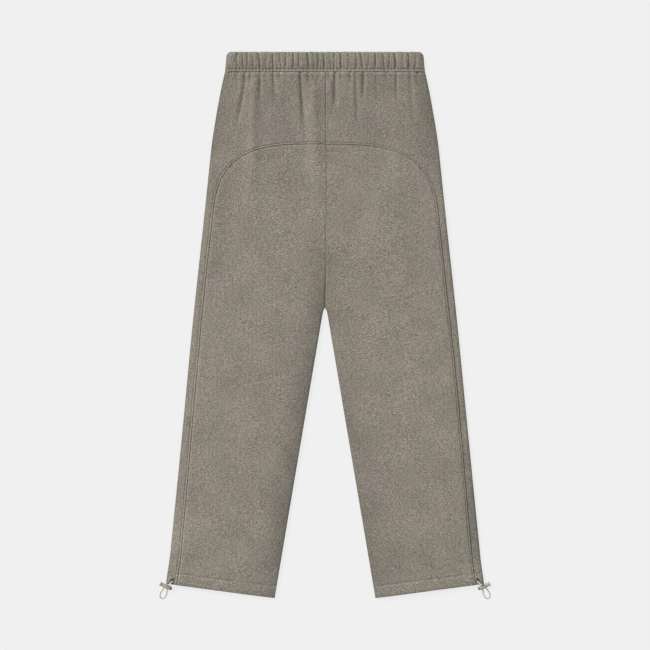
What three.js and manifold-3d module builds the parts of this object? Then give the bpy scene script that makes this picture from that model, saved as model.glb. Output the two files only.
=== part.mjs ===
// Sweatpants laid flat, back side up, with cord locks at the hems.
// Millimetres, +Z up. The origin is under the middle of the garment, on the surface that it lies on.
// +Y runs towards the waist, and +X towards the wearer's right leg.
// Each outer panel is one wall of cloth: the front, the outer fold, a strip beside the back seam and half of the yoke.
// Each back leg is a second wall under the arched back seam.

import * as THREE from "three";
import { mergeVertices } from "three/addons/utils/BufferGeometryUtils.js";
import Module from "manifold-3d";

const wasm = await Module();
wasm.setup();

// Garment sizes. "down" is always the distance below the waist's top edge.
const LENGTH = 1037;
const TOP_EDGE = LENGTH / 2;
const WAIST_HEIGHT = 36.5;
const WAIST_HALF = 190;
const WAIST_TOP_HALF = 186.5;
const WAIST_CORNER = 9;
const HIP_DOWN = 205;
const HIP_HALF = 218.5;
const HIP_EASE = 0.5;
const LEG_FLARE = 0.1013;
const HEM_FLARE = 2.3;
const HEM_FLARE_FROM = 950;
const CROTCH_DOWN = 487;
const FORK_RADIUS = 3.5;
const INSEAM_SLOPE = 0.169;
const OUTER_HEM_DOWN = 1009.5;
const HEM_HEIGHT = 24;

// The back seam: an arch over the seat that runs on down the leg beside the outer fold.
const ARCH_DOWN = 174;
const ARCH_DEPTH = 142;
const ARCH_POWER = 3.2;
const SIDE_SEAM_INSET = 17;
const SIDE_SEAM_DRIFT = { from: 600, to: 1000, by: 3.6 };
const ARCH_SHARE_OF_CORNER = 0.3;
const SEAM_GAP = 0.3;

// Cloth and how high it lies.
const CLOTH = 2;
const SEAM_LEVEL = 4.3;
const MIDDLE_HEIGHT = 6.6;
const EDGE_HEIGHT = 8;
const HEM_STACK = 8.8;
const HEM_EDGE_SINK = 1.4;
const HEM_EDGE_REACH = 2;
const WAIST_RISE = 1.5;
const WAIST_RISE_FADE = 70;
const FOLD_REACH = 7;
const EDGE_BULGE_REACH = 16;
const HEM_RAMP = 26;
const CROTCH_CURL = { from: 468, to: 500 };

// Waistband: a casing of two plies with elastic between them.
const CASING = 4.4;
const BAND_TOP = 10.2;
const BAND_PUFF = 0.8;
const STITCH_DOWN = 30.5;
const STITCH_SINK = 1;

// Rows of a named table as objects.
const table = (columns, rows) =>
  rows.map((row) => Object.fromEntries(columns.map((name, i) => [name, row[i]])));

// Gathers below the waistband on the back: at is the distance from the middle seam, measured along the waist seam.
const PLEATS = table(
  ["side", "at", "depth", "reach"],
  [
    [-1, 169, 1.3, 14],
    [-1, 154, 3.0, 130],
    [-1, 144, 1.2, 16],
    [-1, 123, 2.4, 50],
    [-1, 97, 2.0, 55],
    [-1, 82, 0.8, 20],
    [-1, 63, 0.6, 14],
    [-1, 48, 3.0, 150],
    [-1, 33, 1.4, 26],
    [-1, 20, 0.9, 40],
    [1, 17, 3.0, 70],
    [1, 30, 0.7, 14],
    [1, 45, 1.5, 18],
    [1, 57, 1.6, 140],
    [1, 70, 3.0, 44],
    [1, 98, 1.2, 70],
    [1, 114, 1.0, 14],
    [1, 133, 2.2, 64],
    [1, 144, 0.9, 12],
    [1, 160, 1.4, 70],
    [1, 170, 0.9, 12],
  ],
);
const PLEAT_WIDTH = 4.5;

// Puckers in the waistband's casing on the back: at is the place across the band.
const PUCKERS = table(
  ["at", "depth"],
  [
    [-167, 0.9],
    [-156, 1.0],
    [-148, 1.1],
    [-137, 0.8],
    [-125, 1.9],
    [-112, 0.8],
    [-99, 1.3],
    [-85, 0.8],
    [-74, 1.0],
    [-60, 1.4],
    [-50, 0.9],
    [-32, 1.8],
    [-22, 0.5],
    [-13, 1.1],
    [-2, 1.1],
    [10, 0.7],
    [17, 0.9],
    [30, 1.4],
    [45, 0.7],
    [59, 1.3],
    [70, 1.3],
    [82, 0.7],
    [96, 1.2],
    [111, 1.4],
    [122, 0.9],
    [133, 1.7],
    [148, 0.5],
    [159, 1.5],
  ],
);
const PUCKER_WIDTH = 3.2;

// Cord lock and its cord, on the wearer's right. The other side is the mirror image.
const EYELET = { x: 289.8, y: -485.1, radius: 3.4 };
const CORD_RADIUS = 1;
const STRAND_OFFSET = 1.25;
const LOCK = { x: 301.5, y: -497.2, turn: 24.5, tilt: 45, radius: 4 };
const LOCK_CLEARANCE = 0.3;
const STEM_RADIUS = 2.6;
const PRESS_TRAVEL = 3;
const SLOT_HALF_LENGTH = 2.6;
const SLOT_HALF_HEIGHT = 1.35;
const LOCK_SIDES = 16;
const CORD_SIDES = 8;
const CORD_STEPS = 56;

const COLOURS = { fleece: 0x8b8479, cord: 0xb9b3a4, lock: 0x9c9886 };

const { cos, sin, sqrt, exp, abs, max, min, PI } = Math;
const radians = (degrees) => (degrees * PI) / 180;
const mix = (a, b, share) => a + (b - a) * share;
const clamp01 = (v) => min(1, max(0, v));
const ease = (from, to, v) => {
  const s = clamp01((v - from) / (to - from));
  return s * s * (3 - 2 * s);
};
const bell = (v) => exp(-v * v);

// Half the garment's width at the outer fold.
function outerHalf(down) {
  if (down < WAIST_HEIGHT) {
    const straight = mix(WAIST_TOP_HALF, WAIST_HALF, down / WAIST_HEIGHT);
    const left = max(0, WAIST_CORNER - down);
    return straight - WAIST_CORNER + sqrt(WAIST_CORNER ** 2 - left ** 2);
  }
  const s = min(1, (down - WAIST_HEIGHT) / (HIP_DOWN - WAIST_HEIGHT));
  const hip = mix(WAIST_HALF, HIP_HALF, s + HIP_EASE * s * (1 - s));
  const flare = LEG_FLARE * max(0, down - HIP_DOWN);
  return hip + flare + HEM_FLARE * ease(HEM_FLARE_FROM, OUTER_HEM_DOWN, down);
}

// Distance of the inner leg's edge, or of the middle seam's edge, from the middle.
function innerHalf(down) {
  const below = down - CROTCH_DOWN;
  if (below <= 0) return SEAM_GAP / 2;
  return SEAM_GAP / 2 + INSEAM_SLOPE * below + FORK_RADIUS * (1 - exp(-below / FORK_RADIUS));
}

// The rows of a leg turn from level at the crotch to the slant of the hem.
const ROW_STRETCH = (LENGTH - CROTCH_DOWN) / (OUTER_HEM_DOWN - CROTCH_DOWN);
const innerDown = (down) =>
  down <= CROTCH_DOWN ? down : CROTCH_DOWN + (down - CROTCH_DOWN) * ROW_STRETCH;

const HEM_LINE = OUTER_HEM_DOWN - HEM_HEIGHT;
const wallAt = (down) => (down > HEM_LINE ? 2 * CLOTH : CLOTH);
const curl = (down) => ease(CROTCH_CURL.from, CROTCH_CURL.to, down);

// How far down a point x of the row lies. A row is named by its distance down the outer fold.
function rowDown(row, x) {
  const xIn = innerHalf(innerDown(row));
  const share = (x - xIn) / (outerHalf(row) - xIn);
  return mix(innerDown(row), row, share);
}

// Height of the back: the lie of the cloth, its bulged edges, the hem's plies and the gathers.
// Depth 0 is the outer face, which is rounded off at the hem's edge, and more is that far inside it.
function backHeight(side, row, x, down, depth) {
  const fromOuter = outerHalf(row) - x;
  const fromInner = x - innerHalf(innerDown(row));
  const innerBulge = curl(row) * bell(fromInner / EDGE_BULGE_REACH);
  const bulge = max(bell(fromOuter / EDGE_BULGE_REACH), innerBulge);
  const lie = mix(MIDDLE_HEIGHT, EDGE_HEIGHT, bulge);
  const hem = ease(HEM_LINE - HEM_RAMP, HEM_LINE, row);
  const rounded = HEM_EDGE_SINK * ease(OUTER_HEM_DOWN - HEM_EDGE_REACH, OUTER_HEM_DOWN, row);
  const rise = WAIST_RISE * exp(-(down - WAIST_HEIGHT) / WAIST_RISE_FADE) * (1 - bulge);
  const atWaist = (x * WAIST_HALF) / outerHalf(row);
  return mix(lie, HEM_STACK, hem) + rise - (depth || rounded) - pleatSink(side, down, atWaist);
}

function pleatSink(side, down, at) {
  let sink = 0;
  for (const pleat of PLEATS) {
    if (pleat.side !== side) continue;
    const fade = 1 - ease(0, 1, (down - WAIST_HEIGHT) / pleat.reach);
    sink = max(sink, pleat.depth * fade * bell((at - pleat.at) / PLEAT_WIDTH));
  }
  return sink;
}

// The back seam beside the outer fold: its distance from the middle.
function sideSeam(down) {
  const drift = SIDE_SEAM_DRIFT.by * ease(SIDE_SEAM_DRIFT.from, SIDE_SEAM_DRIFT.to, down);
  const s = clamp01((down - ARCH_DOWN) / ARCH_DEPTH);
  const arch = (1 - (1 - s) ** ARCH_POWER) ** (1 / ARCH_POWER);
  return (outerHalf(down) - SIDE_SEAM_INSET - drift) * arch;
}

// The arch's corner parts the seam into the arch, a height over x, and the side, an x over height.
const CORNER_DOWN = ARCH_DOWN + ARCH_DEPTH * ARCH_SHARE_OF_CORNER;
const CORNER_X = sideSeam(CORNER_DOWN);
const ARCH_HALF = outerHalf(CORNER_DOWN) - SIDE_SEAM_INSET;
const archDown = (x) =>
  ARCH_DOWN + ARCH_DEPTH * (1 - (1 - (x / ARCH_HALF) ** ARCH_POWER) ** (1 / ARCH_POWER));

// Where a slanted row meets the side seam.
function sidePoint(row) {
  let down = row;
  for (let i = 0; i < 4; i++) down = rowDown(row, sideSeam(down));
  return { x: sideSeam(down), down };
}

const YOKE_TOP = WAIST_HEIGHT + SEAM_GAP;
const YOKE_EDGE_SHARE = CORNER_X / outerHalf(CORNER_DOWN);
const steps = (count) => Array.from({ length: count + 1 }, (_, i) => i / count);

// Rows of the yoke, as shares of the way down to the arch. They are closer at the gathers.
const YOKE_ROWS = [0, 0.03, 0.07, 0.12, 0.19, 0.28, 0.4, 0.55, 0.72, 0.88, 1];
// Rows below the arch's corner, as distances down the outer fold.
const LEG_ROWS = [
  CORNER_DOWN,
  224,
  238,
  262,
  296,
  340,
  390,
  440,
  466,
  478,
  CROTCH_DOWN,
  490,
  496,
  508,
  540,
  620,
  710,
  800,
  880,
  HEM_LINE - HEM_RAMP,
  HEM_LINE - HEM_RAMP / 2,
  HEM_LINE - 1,
  HEM_LINE + 0.5,
  OUTER_HEM_DOWN - HEM_EDGE_REACH,
  OUTER_HEM_DOWN - HEM_EDGE_REACH / 3,
  OUTER_HEM_DOWN,
];

// A point of the back's wall as a pair, on the outer face and on the inner face.
function backPair(side, row, x, down) {
  return [0, wallAt(row)].map((depth) => [
    side * x,
    TOP_EDGE - down,
    backHeight(side, row, x, down, depth),
  ]);
}

// The yoke's columns: one on each gather and one between two gathers.
function yokeShares(side) {
  const edge = WAIST_HALF * YOKE_EDGE_SHARE;
  const places = PLEATS.filter((p) => p.side === side && p.at < edge - 4)
    .map((p) => p.at)
    .sort((a, b) => a - b);
  const shares = [SEAM_GAP / 2 / edge];
  places.forEach((at, i) => {
    shares.push((at + (i ? places[i - 1] : 0)) / 2 / edge, at / edge);
  });
  return [...shares, (1 + shares.at(-1)) / 2, 1];
}

// The half yoke above the arch, as a grid of pairs.
function yokeGrid(side) {
  const topEdge = WAIST_HALF * YOKE_EDGE_SHARE;
  return YOKE_ROWS.map((r) =>
    yokeShares(side).map((q) => {
      const down = mix(YOKE_TOP, archDown(q * CORNER_X) - SEAM_GAP * r, r);
      return backPair(side, down, q * mix(topEdge, CORNER_X, r), down);
    }),
  );
}

// The strip beside the back seam, the outer fold and the front, as a grid of pairs.
const STRIP_SHARES = steps(4);
const FOLD_ANGLES = [45, 0, -50, -90];
const FRONT_SHARES = [0.7, 0.35, 0];
const FRONT_EDGE_ANGLES = [40, 0];

function stripAndFrontRow(side, row, start) {
  const xOut = outerHalf(row);
  const xIn = innerHalf(innerDown(row));
  const wall = wallAt(row);
  const pairs = STRIP_SHARES.map((share) => {
    const x = mix(start.x, xOut - FOLD_REACH, share);
    return backPair(side, row, x, share ? rowDown(row, x) : start.down);
  });
  const pair = (place) =>
    [0, wall].map((depth) => {
      const { x, z } = place(depth);
      return [side * x, TOP_EDGE - rowDown(row, x), z];
    });
  const top = (depth) => backHeight(side, row, xOut - FOLD_REACH, row, depth) - SEAM_LEVEL;
  for (const degrees of FOLD_ANGLES) {
    const angle = radians(degrees);
    pairs.push(
      pair((depth) => ({
        x: xOut - FOLD_REACH + (FOLD_REACH - depth) * cos(angle),
        z: SEAM_LEVEL + (angle < 0 ? SEAM_LEVEL - depth : top(depth)) * sin(angle),
      })),
    );
  }
  for (const share of FRONT_SHARES)
    pairs.push(pair((depth) => ({ x: mix(xIn + FOLD_REACH, xOut - FOLD_REACH, share), z: depth })));
  for (const degrees of FRONT_EDGE_ANGLES)
    pairs.push(pair((depth) => innerEdgePlace(row, xIn, degrees, depth, (skin) => skin, -1)));
  return pairs;
}

// The leg's inner edge, where the front and the back curl up to meet at the inseam.
function innerEdgePlace(row, xIn, degrees, depth, flatHeight, layer) {
  const angle = radians(degrees);
  const bend = curl(row);
  const x = xIn + FOLD_REACH - (FOLD_REACH - depth * bend) * cos(angle);
  const flat = flatHeight(depth);
  const end = SEAM_LEVEL + (layer * SEAM_GAP) / 2;
  return { x, z: mix(flat, mix(end, flat, sin(angle)), bend) };
}

function outerPanelGrids(side) {
  const topEdge = WAIST_HALF * YOKE_EDGE_SHARE;
  const beside = YOKE_ROWS.map((r) => {
    const down = mix(YOKE_TOP, archDown(CORNER_X) - SEAM_GAP * r, r);
    return stripAndFrontRow(side, down, { x: mix(topEdge, CORNER_X, r), down });
  });
  const below = LEG_ROWS.slice(1).map((row) => {
    const { x, down } = sidePoint(row);
    return stripAndFrontRow(side, row, { x: x + SEAM_GAP, down });
  });
  return [yokeGrid(side), [...beside, ...below]];
}

// The back leg, as a grid of pairs between the arch, the side seam, the hem and the middle or inner edge.
const LEG_SHARES = steps(12);
const LEG_TOP_REACH = 150;

function backLegGrid(side) {
  return LEG_ROWS.map((row) => {
    const seam = sidePoint(row);
    const nearTop = 1 - ease(CORNER_DOWN, CORNER_DOWN + LEG_TOP_REACH, row);
    const innerRow = row - (CORNER_DOWN - ARCH_DOWN) * nearTop;
    const xIn = innerHalf(innerDown(row));
    const wall = wallAt(row);
    const downAt = (x) => {
      const share = (x - xIn) / (seam.x - xIn);
      const onArch = archDown(min(CORNER_X, share * CORNER_X));
      const bow = onArch - mix(ARCH_DOWN, CORNER_DOWN, share);
      return mix(innerDown(innerRow), seam.down, share) + bow * nearTop;
    };
    const pairs = [...FRONT_EDGE_ANGLES].reverse().map((degrees) =>
      [0, wall].map((depth) => {
        const flatX = xIn + FOLD_REACH * (1 - cos(radians(degrees)));
        const flatHeight = (skin) => backHeight(side, row, flatX, downAt(flatX), skin);
        const { x, z } = innerEdgePlace(row, xIn, degrees, depth, flatHeight, 1);
        return [side * x, TOP_EDGE - downAt(flatX), z];
      }),
    );
    for (const share of LEG_SHARES) {
      const x = mix(xIn + FOLD_REACH, seam.x, share);
      pairs.push(backPair(side, row, x, downAt(x)));
    }
    return pairs;
  });
}

// A closed wall from grids of pairs. Grids that share an edge are joined there, and every free edge is closed.
function wallGeometry(grids, flip) {
  const ids = new Map();
  const pairs = [];
  const idOf = (pair) => {
    const key = pair[0].map((v) => v.toFixed(4)).join();
    if (!ids.has(key)) {
      ids.set(key, pairs.length);
      pairs.push(pair);
    }
    return ids.get(key);
  };
  const quads = grids.flatMap((grid) =>
    grid.slice(1).flatMap((below, i) =>
      below.slice(1).map((_, j) => [grid[i][j], below[j], below[j + 1], grid[i][j + 1]].map(idOf)),
    ),
  );
  const index = [];
  const quad = (a, b, c, d) => {
    if (b !== c) index.push(a, b, c);
    if (a !== d) index.push(a, c, d);
  };
  const edges = new Set(quads.flatMap((q) => q.map((a, k) => `${a},${q[(k + 1) % 4]}`)));
  const inner = (id) => id + pairs.length;
  for (const [a, b, c, d] of quads) {
    quad(a, b, c, d);
    quad(inner(d), inner(c), inner(b), inner(a));
  }
  for (const edge of edges) {
    const [a, b] = edge.split(",").map(Number);
    if (a !== b && !edges.has(`${b},${a}`)) quad(b, a, inner(a), inner(b));
  }
  const positions = [...pairs.map((p) => p[0]), ...pairs.map((p) => p[1])].flat();
  return indexedGeometry(positions, flip ? index.reverse() : index);
}

function indexedGeometry(positions, index) {
  const geometry = new THREE.BufferGeometry();
  geometry.setAttribute("position", new THREE.Float32BufferAttribute(positions, 3));
  geometry.setIndex(index);
  return geometry;
}

// Between three.js geometry and manifold-3d solids.
function toSolid(geometry) {
  const bare = geometry.clone();
  bare.deleteAttribute("normal");
  bare.deleteAttribute("uv");
  const merged = mergeVertices(bare, 1e-4);
  return new wasm.Manifold(
    new wasm.Mesh({
      numProp: 3,
      vertProperties: new Float32Array(merged.attributes.position.array),
      triVerts: new Uint32Array(merged.index.array),
    }),
  );
}

function toGeometry(solid) {
  const mesh = solid.getMesh();
  const geometry = indexedGeometry([...mesh.vertProperties], [...mesh.triVerts]);
  return geometry;
}

function cylinderSolid(x, y, radius, from, to) {
  const height = to - from;
  const cylinder = new THREE.CylinderGeometry(radius, radius, height, LOCK_SIDES);
  cylinder.rotateX(PI / 2);
  cylinder.translate(x, y, from + height / 2);
  return toSolid(cylinder);
}

function outerPanelGeometry(side) {
  const wall = toSolid(wallGeometry(outerPanelGrids(side), side < 0));
  const eyelet = cylinderSolid(side * EYELET.x, EYELET.y, EYELET.radius, SEAM_LEVEL, 20);
  return toGeometry(wall.subtract(eyelet));
}

const backLegGeometry = (side) => wallGeometry([backLegGrid(side)], side < 0);

// Waistband: a profile of the casing's wall carried round the flattened waist.
const BAND_PROFILE = table(
  ["down", "skin", "sink"],
  [
    [WAIST_HEIGHT, 0, 0.8],
    [33.5, 0, 0.1],
    [STITCH_DOWN, 0, STITCH_SINK],
    [26, 0, 0],
    [14, 0, 0],
    [4, 0, 0.3],
    [0.8, 0, 1.3],
    [0, 0.5, 0],
    [0.8, 1, -0.8],
    [WAIST_HEIGHT, 1, 0],
  ],
);

function bandStations() {
  const stations = [];
  const bareHalf = WAIST_HALF - FOLD_REACH;
  const turn = (side, angles) =>
    angles.forEach((angle) => stations.push({ side, angle: radians(angle) }));
  turn(1, [90, 45, 0, -50, -90]);
  for (const share of [0.6, 0.2, -0.2, -0.6]) stations.push({ side: 0, back: false, at: bareHalf * share });
  turn(-1, [-90, -50, 0, 45, 90]);
  PUCKERS.forEach((pucker, i) => {
    const before = i ? PUCKERS[i - 1].at : -bareHalf;
    stations.push({ side: 0, back: true, at: (before + pucker.at) / 2 });
    stations.push({ side: 0, back: true, at: pucker.at });
  });
  return stations;
}

function puckerSink(at, down) {
  const fade = ease(STITCH_DOWN, STITCH_DOWN - 8, down);
  return fade * max(...PUCKERS.map((p) => p.depth * bell((at - p.at) / PUCKER_WIDTH)));
}

function bandPoint(station, ring) {
  const half = outerHalf(ring.down);
  const wall = CASING * ring.skin;
  const puff = BAND_PUFF * bell((ring.down - 16) / 10) * (1 - ring.skin);
  const top = BAND_TOP - wall - ring.sink + puff;
  const floor = wall + max(0, ring.sink) * ring.skin;
  let x;
  let z;
  if (station.side) {
    x = half - FOLD_REACH + (FOLD_REACH - wall) * cos(station.angle);
    x *= station.side;
    const middle = BAND_TOP / 2;
    const rise = station.angle < 0 ? middle - floor : top - middle;
    z = middle + rise * sin(station.angle);
  } else {
    const share = station.at / (WAIST_HALF - FOLD_REACH);
    x = share * (half - FOLD_REACH);
    z = station.back ? top - puckerSink(station.at, ring.down) * (1 - ring.skin) : floor;
  }
  return [x, TOP_EDGE - ring.down, z];
}

function waistbandGeometry() {
  const stations = bandStations();
  const rings = BAND_PROFILE;
  const positions = stations.flatMap((s) => rings.flatMap((r) => bandPoint(s, r)));
  const index = [];
  const id = (i, j) => (i % stations.length) * rings.length + (j % rings.length);
  for (let i = 0; i < stations.length; i++)
    for (let j = 0; j < rings.length; j++)
      index.push(id(i, j), id(i + 1, j + 1), id(i, j + 1), id(i, j), id(i + 1, j), id(i + 1, j + 1));
  return indexedGeometry(positions, index);
}

// Directions of the lock on one side: along its barrel, and along its cord hole.
function lockFrame(side) {
  const turn = radians(LOCK.turn);
  const tilt = radians(LOCK.tilt);
  const along = new THREE.Vector3(side * cos(turn), sin(turn), 0);
  const outwards = new THREE.Vector3(side * sin(turn), -cos(turn), 0);
  const hole = outwards.clone().multiplyScalar(cos(tilt));
  hole.z = -sin(tilt);
  return { along, outwards, hole, centre: new THREE.Vector3(side * LOCK.x, LOCK.y, LOCK.radius) };
}

// The cord: out of the eyelet, through the lock, round a loop on the surface and back.
// across is the distance along the lock's barrel, out is away from the lock's middle, and z the height.
const LOOP_ROUTE = table(
  ["across", "out", "z"],
  [
    [1.25, 3.1, 1.37],
    [1.3, 4.7, 1.06],
    [1.6, 7.0, 1.06],
    [2.7, 9.8, 1.06],
    [5.0, 13.4, 1.06],
    [6.5, 17.4, 1.06],
    [5.4, 21.2, 1.06],
    [2.6, 23.2, 1.06],
    [0, 23.7, 1.06],
  ],
);
// Heights of a strand over the hem: gone is the share of the way from the eyelet to the lock's hole.
const HEM_ROUTE = table(
  ["gone", "z"],
  [
    [0, 5.9],
    [0.03, 8],
    [0.12, 9.8],
    [0.25, 10.4],
    [0.42, 10.4],
    [0.6, 10.2],
    [0.75, 9.6],
  ],
);

function cordRoute(side) {
  const { along, outwards, hole, centre } = lockFrame(side);
  const eyelet = new THREE.Vector3(side * EYELET.x, EYELET.y, 0);
  const mouth = centre.clone().addScaledVector(hole, -LOCK.radius - 0.8);
  const exit = centre.clone().addScaledVector(hole, LOCK.radius - 1.5);
  const strand = (sign) => {
    const offset = along.clone().multiplyScalar(sign * STRAND_OFFSET);
    const over = HEM_ROUTE.map(({ gone, z }) =>
      eyelet.clone().lerp(new THREE.Vector3(mouth.x, mouth.y, 0), gone).add(offset).setZ(z),
    );
    const through = [mouth, centre, exit].map((p) => p.clone().add(offset));
    const loop = LOOP_ROUTE.filter((p) => p.across > 0).map(({ across, out, z }) =>
      centre.clone().addScaledVector(along, sign * across).addScaledVector(outwards, out).setZ(z),
    );
    return [...over, ...through, ...loop];
  };
  const tip = LOOP_ROUTE.at(-1);
  const end = centre.clone().addScaledVector(outwards, tip.out).setZ(tip.z);
  return [...strand(1), end, ...strand(-1).reverse()];
}

function cordGeometry(side) {
  const path = new THREE.CatmullRomCurve3(cordRoute(side), false, "centripetal");
  const section = new THREE.Shape();
  for (let i = 0; i < CORD_SIDES; i++) {
    const angle = (2 * PI * i) / CORD_SIDES;
    section[i ? "lineTo" : "moveTo"](CORD_RADIUS * cos(angle), CORD_RADIUS * sin(angle));
  }
  return new THREE.ExtrudeGeometry(section, { steps: CORD_STEPS, extrudePath: path, bevelEnabled: false });
}

// Lock pieces lie along their own X axis, with the cord hole at 0 and the push button on the +X end.
const turned = (profile) => {
  const lathe = new THREE.LatheGeometry(
    profile.map(({ x, r }) => new THREE.Vector2(r, x)),
    LOCK_SIDES,
  );
  lathe.rotateZ(-PI / 2);
  return toSolid(lathe);
};

const HOUSING_PROFILE = table(
  ["x", "r"],
  [
    [-11.2, 0],
    [-11.2, 2.3],
    [-10.7, 2.8],
    [-8.6, 2.8],
    [-8.3, 3.6],
    [-7.6, 4],
    [5.7, 4],
    [6.5, 3.6],
    [6.5, STEM_RADIUS + LOCK_CLEARANCE],
    [-7.6, STEM_RADIUS + LOCK_CLEARANCE],
    [-7.6, 0],
  ],
);

const PLUNGER_PROFILE = table(
  ["x", "r"],
  [
    [-4.3, 0],
    [-4.3, STEM_RADIUS],
    [9.6, STEM_RADIUS],
    [9.6, 3.3],
    [10, 3.7],
    [12.8, 3.7],
    [13.5, 3],
    [13.7, 0],
  ],
);

// A slot across the barrel for the two strands, open from one x to another.
function slotSolid(from, to) {
  const shape = new THREE.Shape();
  const r = SLOT_HALF_HEIGHT;
  shape.absarc(from + r, 0, r, PI / 2, 1.5 * PI);
  shape.absarc(to - r, 0, r, -PI / 2, PI / 2);
  const reach = LOCK.radius + 2;
  const slot = new THREE.ExtrudeGeometry(shape, {
    depth: 2 * reach,
    bevelEnabled: false,
    curveSegments: 6,
  });
  slot.translate(0, 0, -reach);
  slot.rotateX(radians(LOCK.tilt) - PI / 2);
  return toSolid(slot);
}

const housing = toGeometry(turned(HOUSING_PROFILE).subtract(slotSolid(-SLOT_HALF_LENGTH, SLOT_HALF_LENGTH)));
const plunger = toGeometry(
  turned(PLUNGER_PROFILE).subtract(slotSolid(-SLOT_HALF_LENGTH, SLOT_HALF_LENGTH + PRESS_TRAVEL)),
);

function lockGroup(side, name) {
  const group = new THREE.Group();
  group.position.set(side * LOCK.x, LOCK.y, LOCK.radius);
  group.rotation.z = side > 0 ? radians(LOCK.turn) : PI - radians(LOCK.turn);
  group.add(piece(`${name}_lock_body`, side > 0 ? housing : mirroredAcross(housing), "lock"));
  group.add(piece(`${name}_lock_plunger`, side > 0 ? plunger : mirroredAcross(plunger), "lock"));
  return group;
}

// The left lock's pieces, with the slant of their cord hole turned over.
function mirroredAcross(geometry) {
  const copy = geometry.clone();
  copy.scale(1, -1, 1);
  copy.setIndex([...copy.index.array].reverse());
  return copy;
}

function piece(name, geometry, finish) {
  const material = new THREE.MeshStandardMaterial({
    color: COLOURS[finish],
    roughness: finish === "lock" ? 0.45 : 0.95,
    metalness: 0,
  });
  const mesh = new THREE.Mesh(geometry, material);
  mesh.name = name;
  return mesh;
}

const sweatpants = new THREE.Group();
sweatpants.add(piece("waistband", waistbandGeometry(), "fleece"));
for (const [side, name] of [
  [-1, "left"],
  [1, "right"],
]) {
  sweatpants.add(piece(`${name}_outer_panel`, outerPanelGeometry(side), "fleece"));
  sweatpants.add(piece(`${name}_back_leg`, backLegGeometry(side), "fleece"));
  sweatpants.add(piece(`${name}_hem_cord`, cordGeometry(side), "cord"));
  sweatpants.add(lockGroup(side, name));
}

export default sweatpants;
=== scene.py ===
"""Sweatpants laid flat with their back side up, dressed over the packed frame.

Every garment size is in millimetres in the frame's own axes: +Y towards the waist, +Z up.
"down" is the distance below the waist's top edge, and a "row" is named by its distance down the outer fold.
"""

import math

import bmesh
import bpy
import numpy as np
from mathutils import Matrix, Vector


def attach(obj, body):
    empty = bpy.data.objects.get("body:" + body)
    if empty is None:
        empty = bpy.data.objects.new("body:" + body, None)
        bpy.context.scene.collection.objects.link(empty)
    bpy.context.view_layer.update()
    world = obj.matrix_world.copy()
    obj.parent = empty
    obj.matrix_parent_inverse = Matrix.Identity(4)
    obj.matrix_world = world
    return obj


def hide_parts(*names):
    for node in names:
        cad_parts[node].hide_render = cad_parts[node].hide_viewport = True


bl_info = {
    "name": "Sweatpants Laid Flat",
    "version": (1, 0, 0),
    "blender": (4, 5, 0),
    "location": "3D View > Sidebar > Sweatpants",
    "description": "Builds gathered fleece sweatpants with corded hems over a packed frame",
    "category": "Add Mesh",
}

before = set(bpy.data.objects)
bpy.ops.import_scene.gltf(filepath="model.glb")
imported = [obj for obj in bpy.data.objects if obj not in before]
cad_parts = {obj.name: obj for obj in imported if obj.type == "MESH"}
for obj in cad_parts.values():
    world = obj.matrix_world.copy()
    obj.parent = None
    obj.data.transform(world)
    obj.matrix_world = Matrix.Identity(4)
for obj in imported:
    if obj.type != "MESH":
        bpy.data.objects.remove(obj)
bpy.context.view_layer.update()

MM = 0.001
SIDES = ((-1, "left"), (1, "right"))

# Outline of the garment.
LENGTH = 1037.0
TOP_EDGE = LENGTH / 2
WAIST_HEIGHT = 36.5
WAIST_HALF = 190.0
WAIST_TOP_HALF = 186.5
WAIST_CORNER = 9.0
HIP_DOWN = 205.0
HIP_HALF = 218.5
HIP_EASE = 0.5
LEG_FLARE = 0.1013
HEM_FLARE = 2.3
HEM_FLARE_FROM = 950.0
YOKE_TRIM = 1.0
THIGH_EASE = 1.6
CROTCH_DOWN = 487.0
FORK_RADIUS = 2.8
INSEAM_SLOPE = 0.169
OUTER_HEM_DOWN = 1009.5
HEM_HEIGHT = 21.6
HEM_LINE = OUTER_HEM_DOWN - HEM_HEIGHT
ROW_STRETCH = (LENGTH - CROTCH_DOWN) / (OUTER_HEM_DOWN - CROTCH_DOWN)
SEAM_GAP = 0.06
MIDDLE_SHIFT = 1.0
MIDDLE_DRIFT = 1.5
SIDE_DRIFT = 1.3
ARCH_DRIFT = 0.75
WAIST_SEAM_DOWN = 38.2
YOKE_TOP = WAIST_SEAM_DOWN + SEAM_GAP

# The back seam: an arch over the seat that runs on down beside the outer fold.
ARCH_DOWN = 176.1
ARCH_DEPTH = 142.0
ARCH_POWER = 3.2
SIDE_SEAM_INSET = 17.0
SIDE_SEAM_DRIFT = 3.6
SIDE_SEAM_DRIFT_ROWS = (600.0, 1000.0)
CORNER_DOWN = ARCH_DOWN + 0.3 * ARCH_DEPTH
ARCH_TOPSTITCH = 3.7
# Between these distances along the seam, the arch's own seam form turns into each side's.
ARCH_TO_SIDE = (230, 330)
SEAM_DIP, SIDE_DIP = 0.45, {-1: 0.28, 1: 0.45}
SEAM_RIDGE, SIDE_RIDGE = 1.15, {-1: 1.1, 1: 2.1}
SIDE_TOPSTITCH = {-1: 4.3, 1: 2.8}
STITCH_GROOVE, SIDE_GROOVE = 1.1, {-1: 1.1, 1: 1.55}
SHOULDER = {-1: 1.1, 1: 0.5}
HEM_GROOVE = {-1: 0.85, 1: 0.65}

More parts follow.
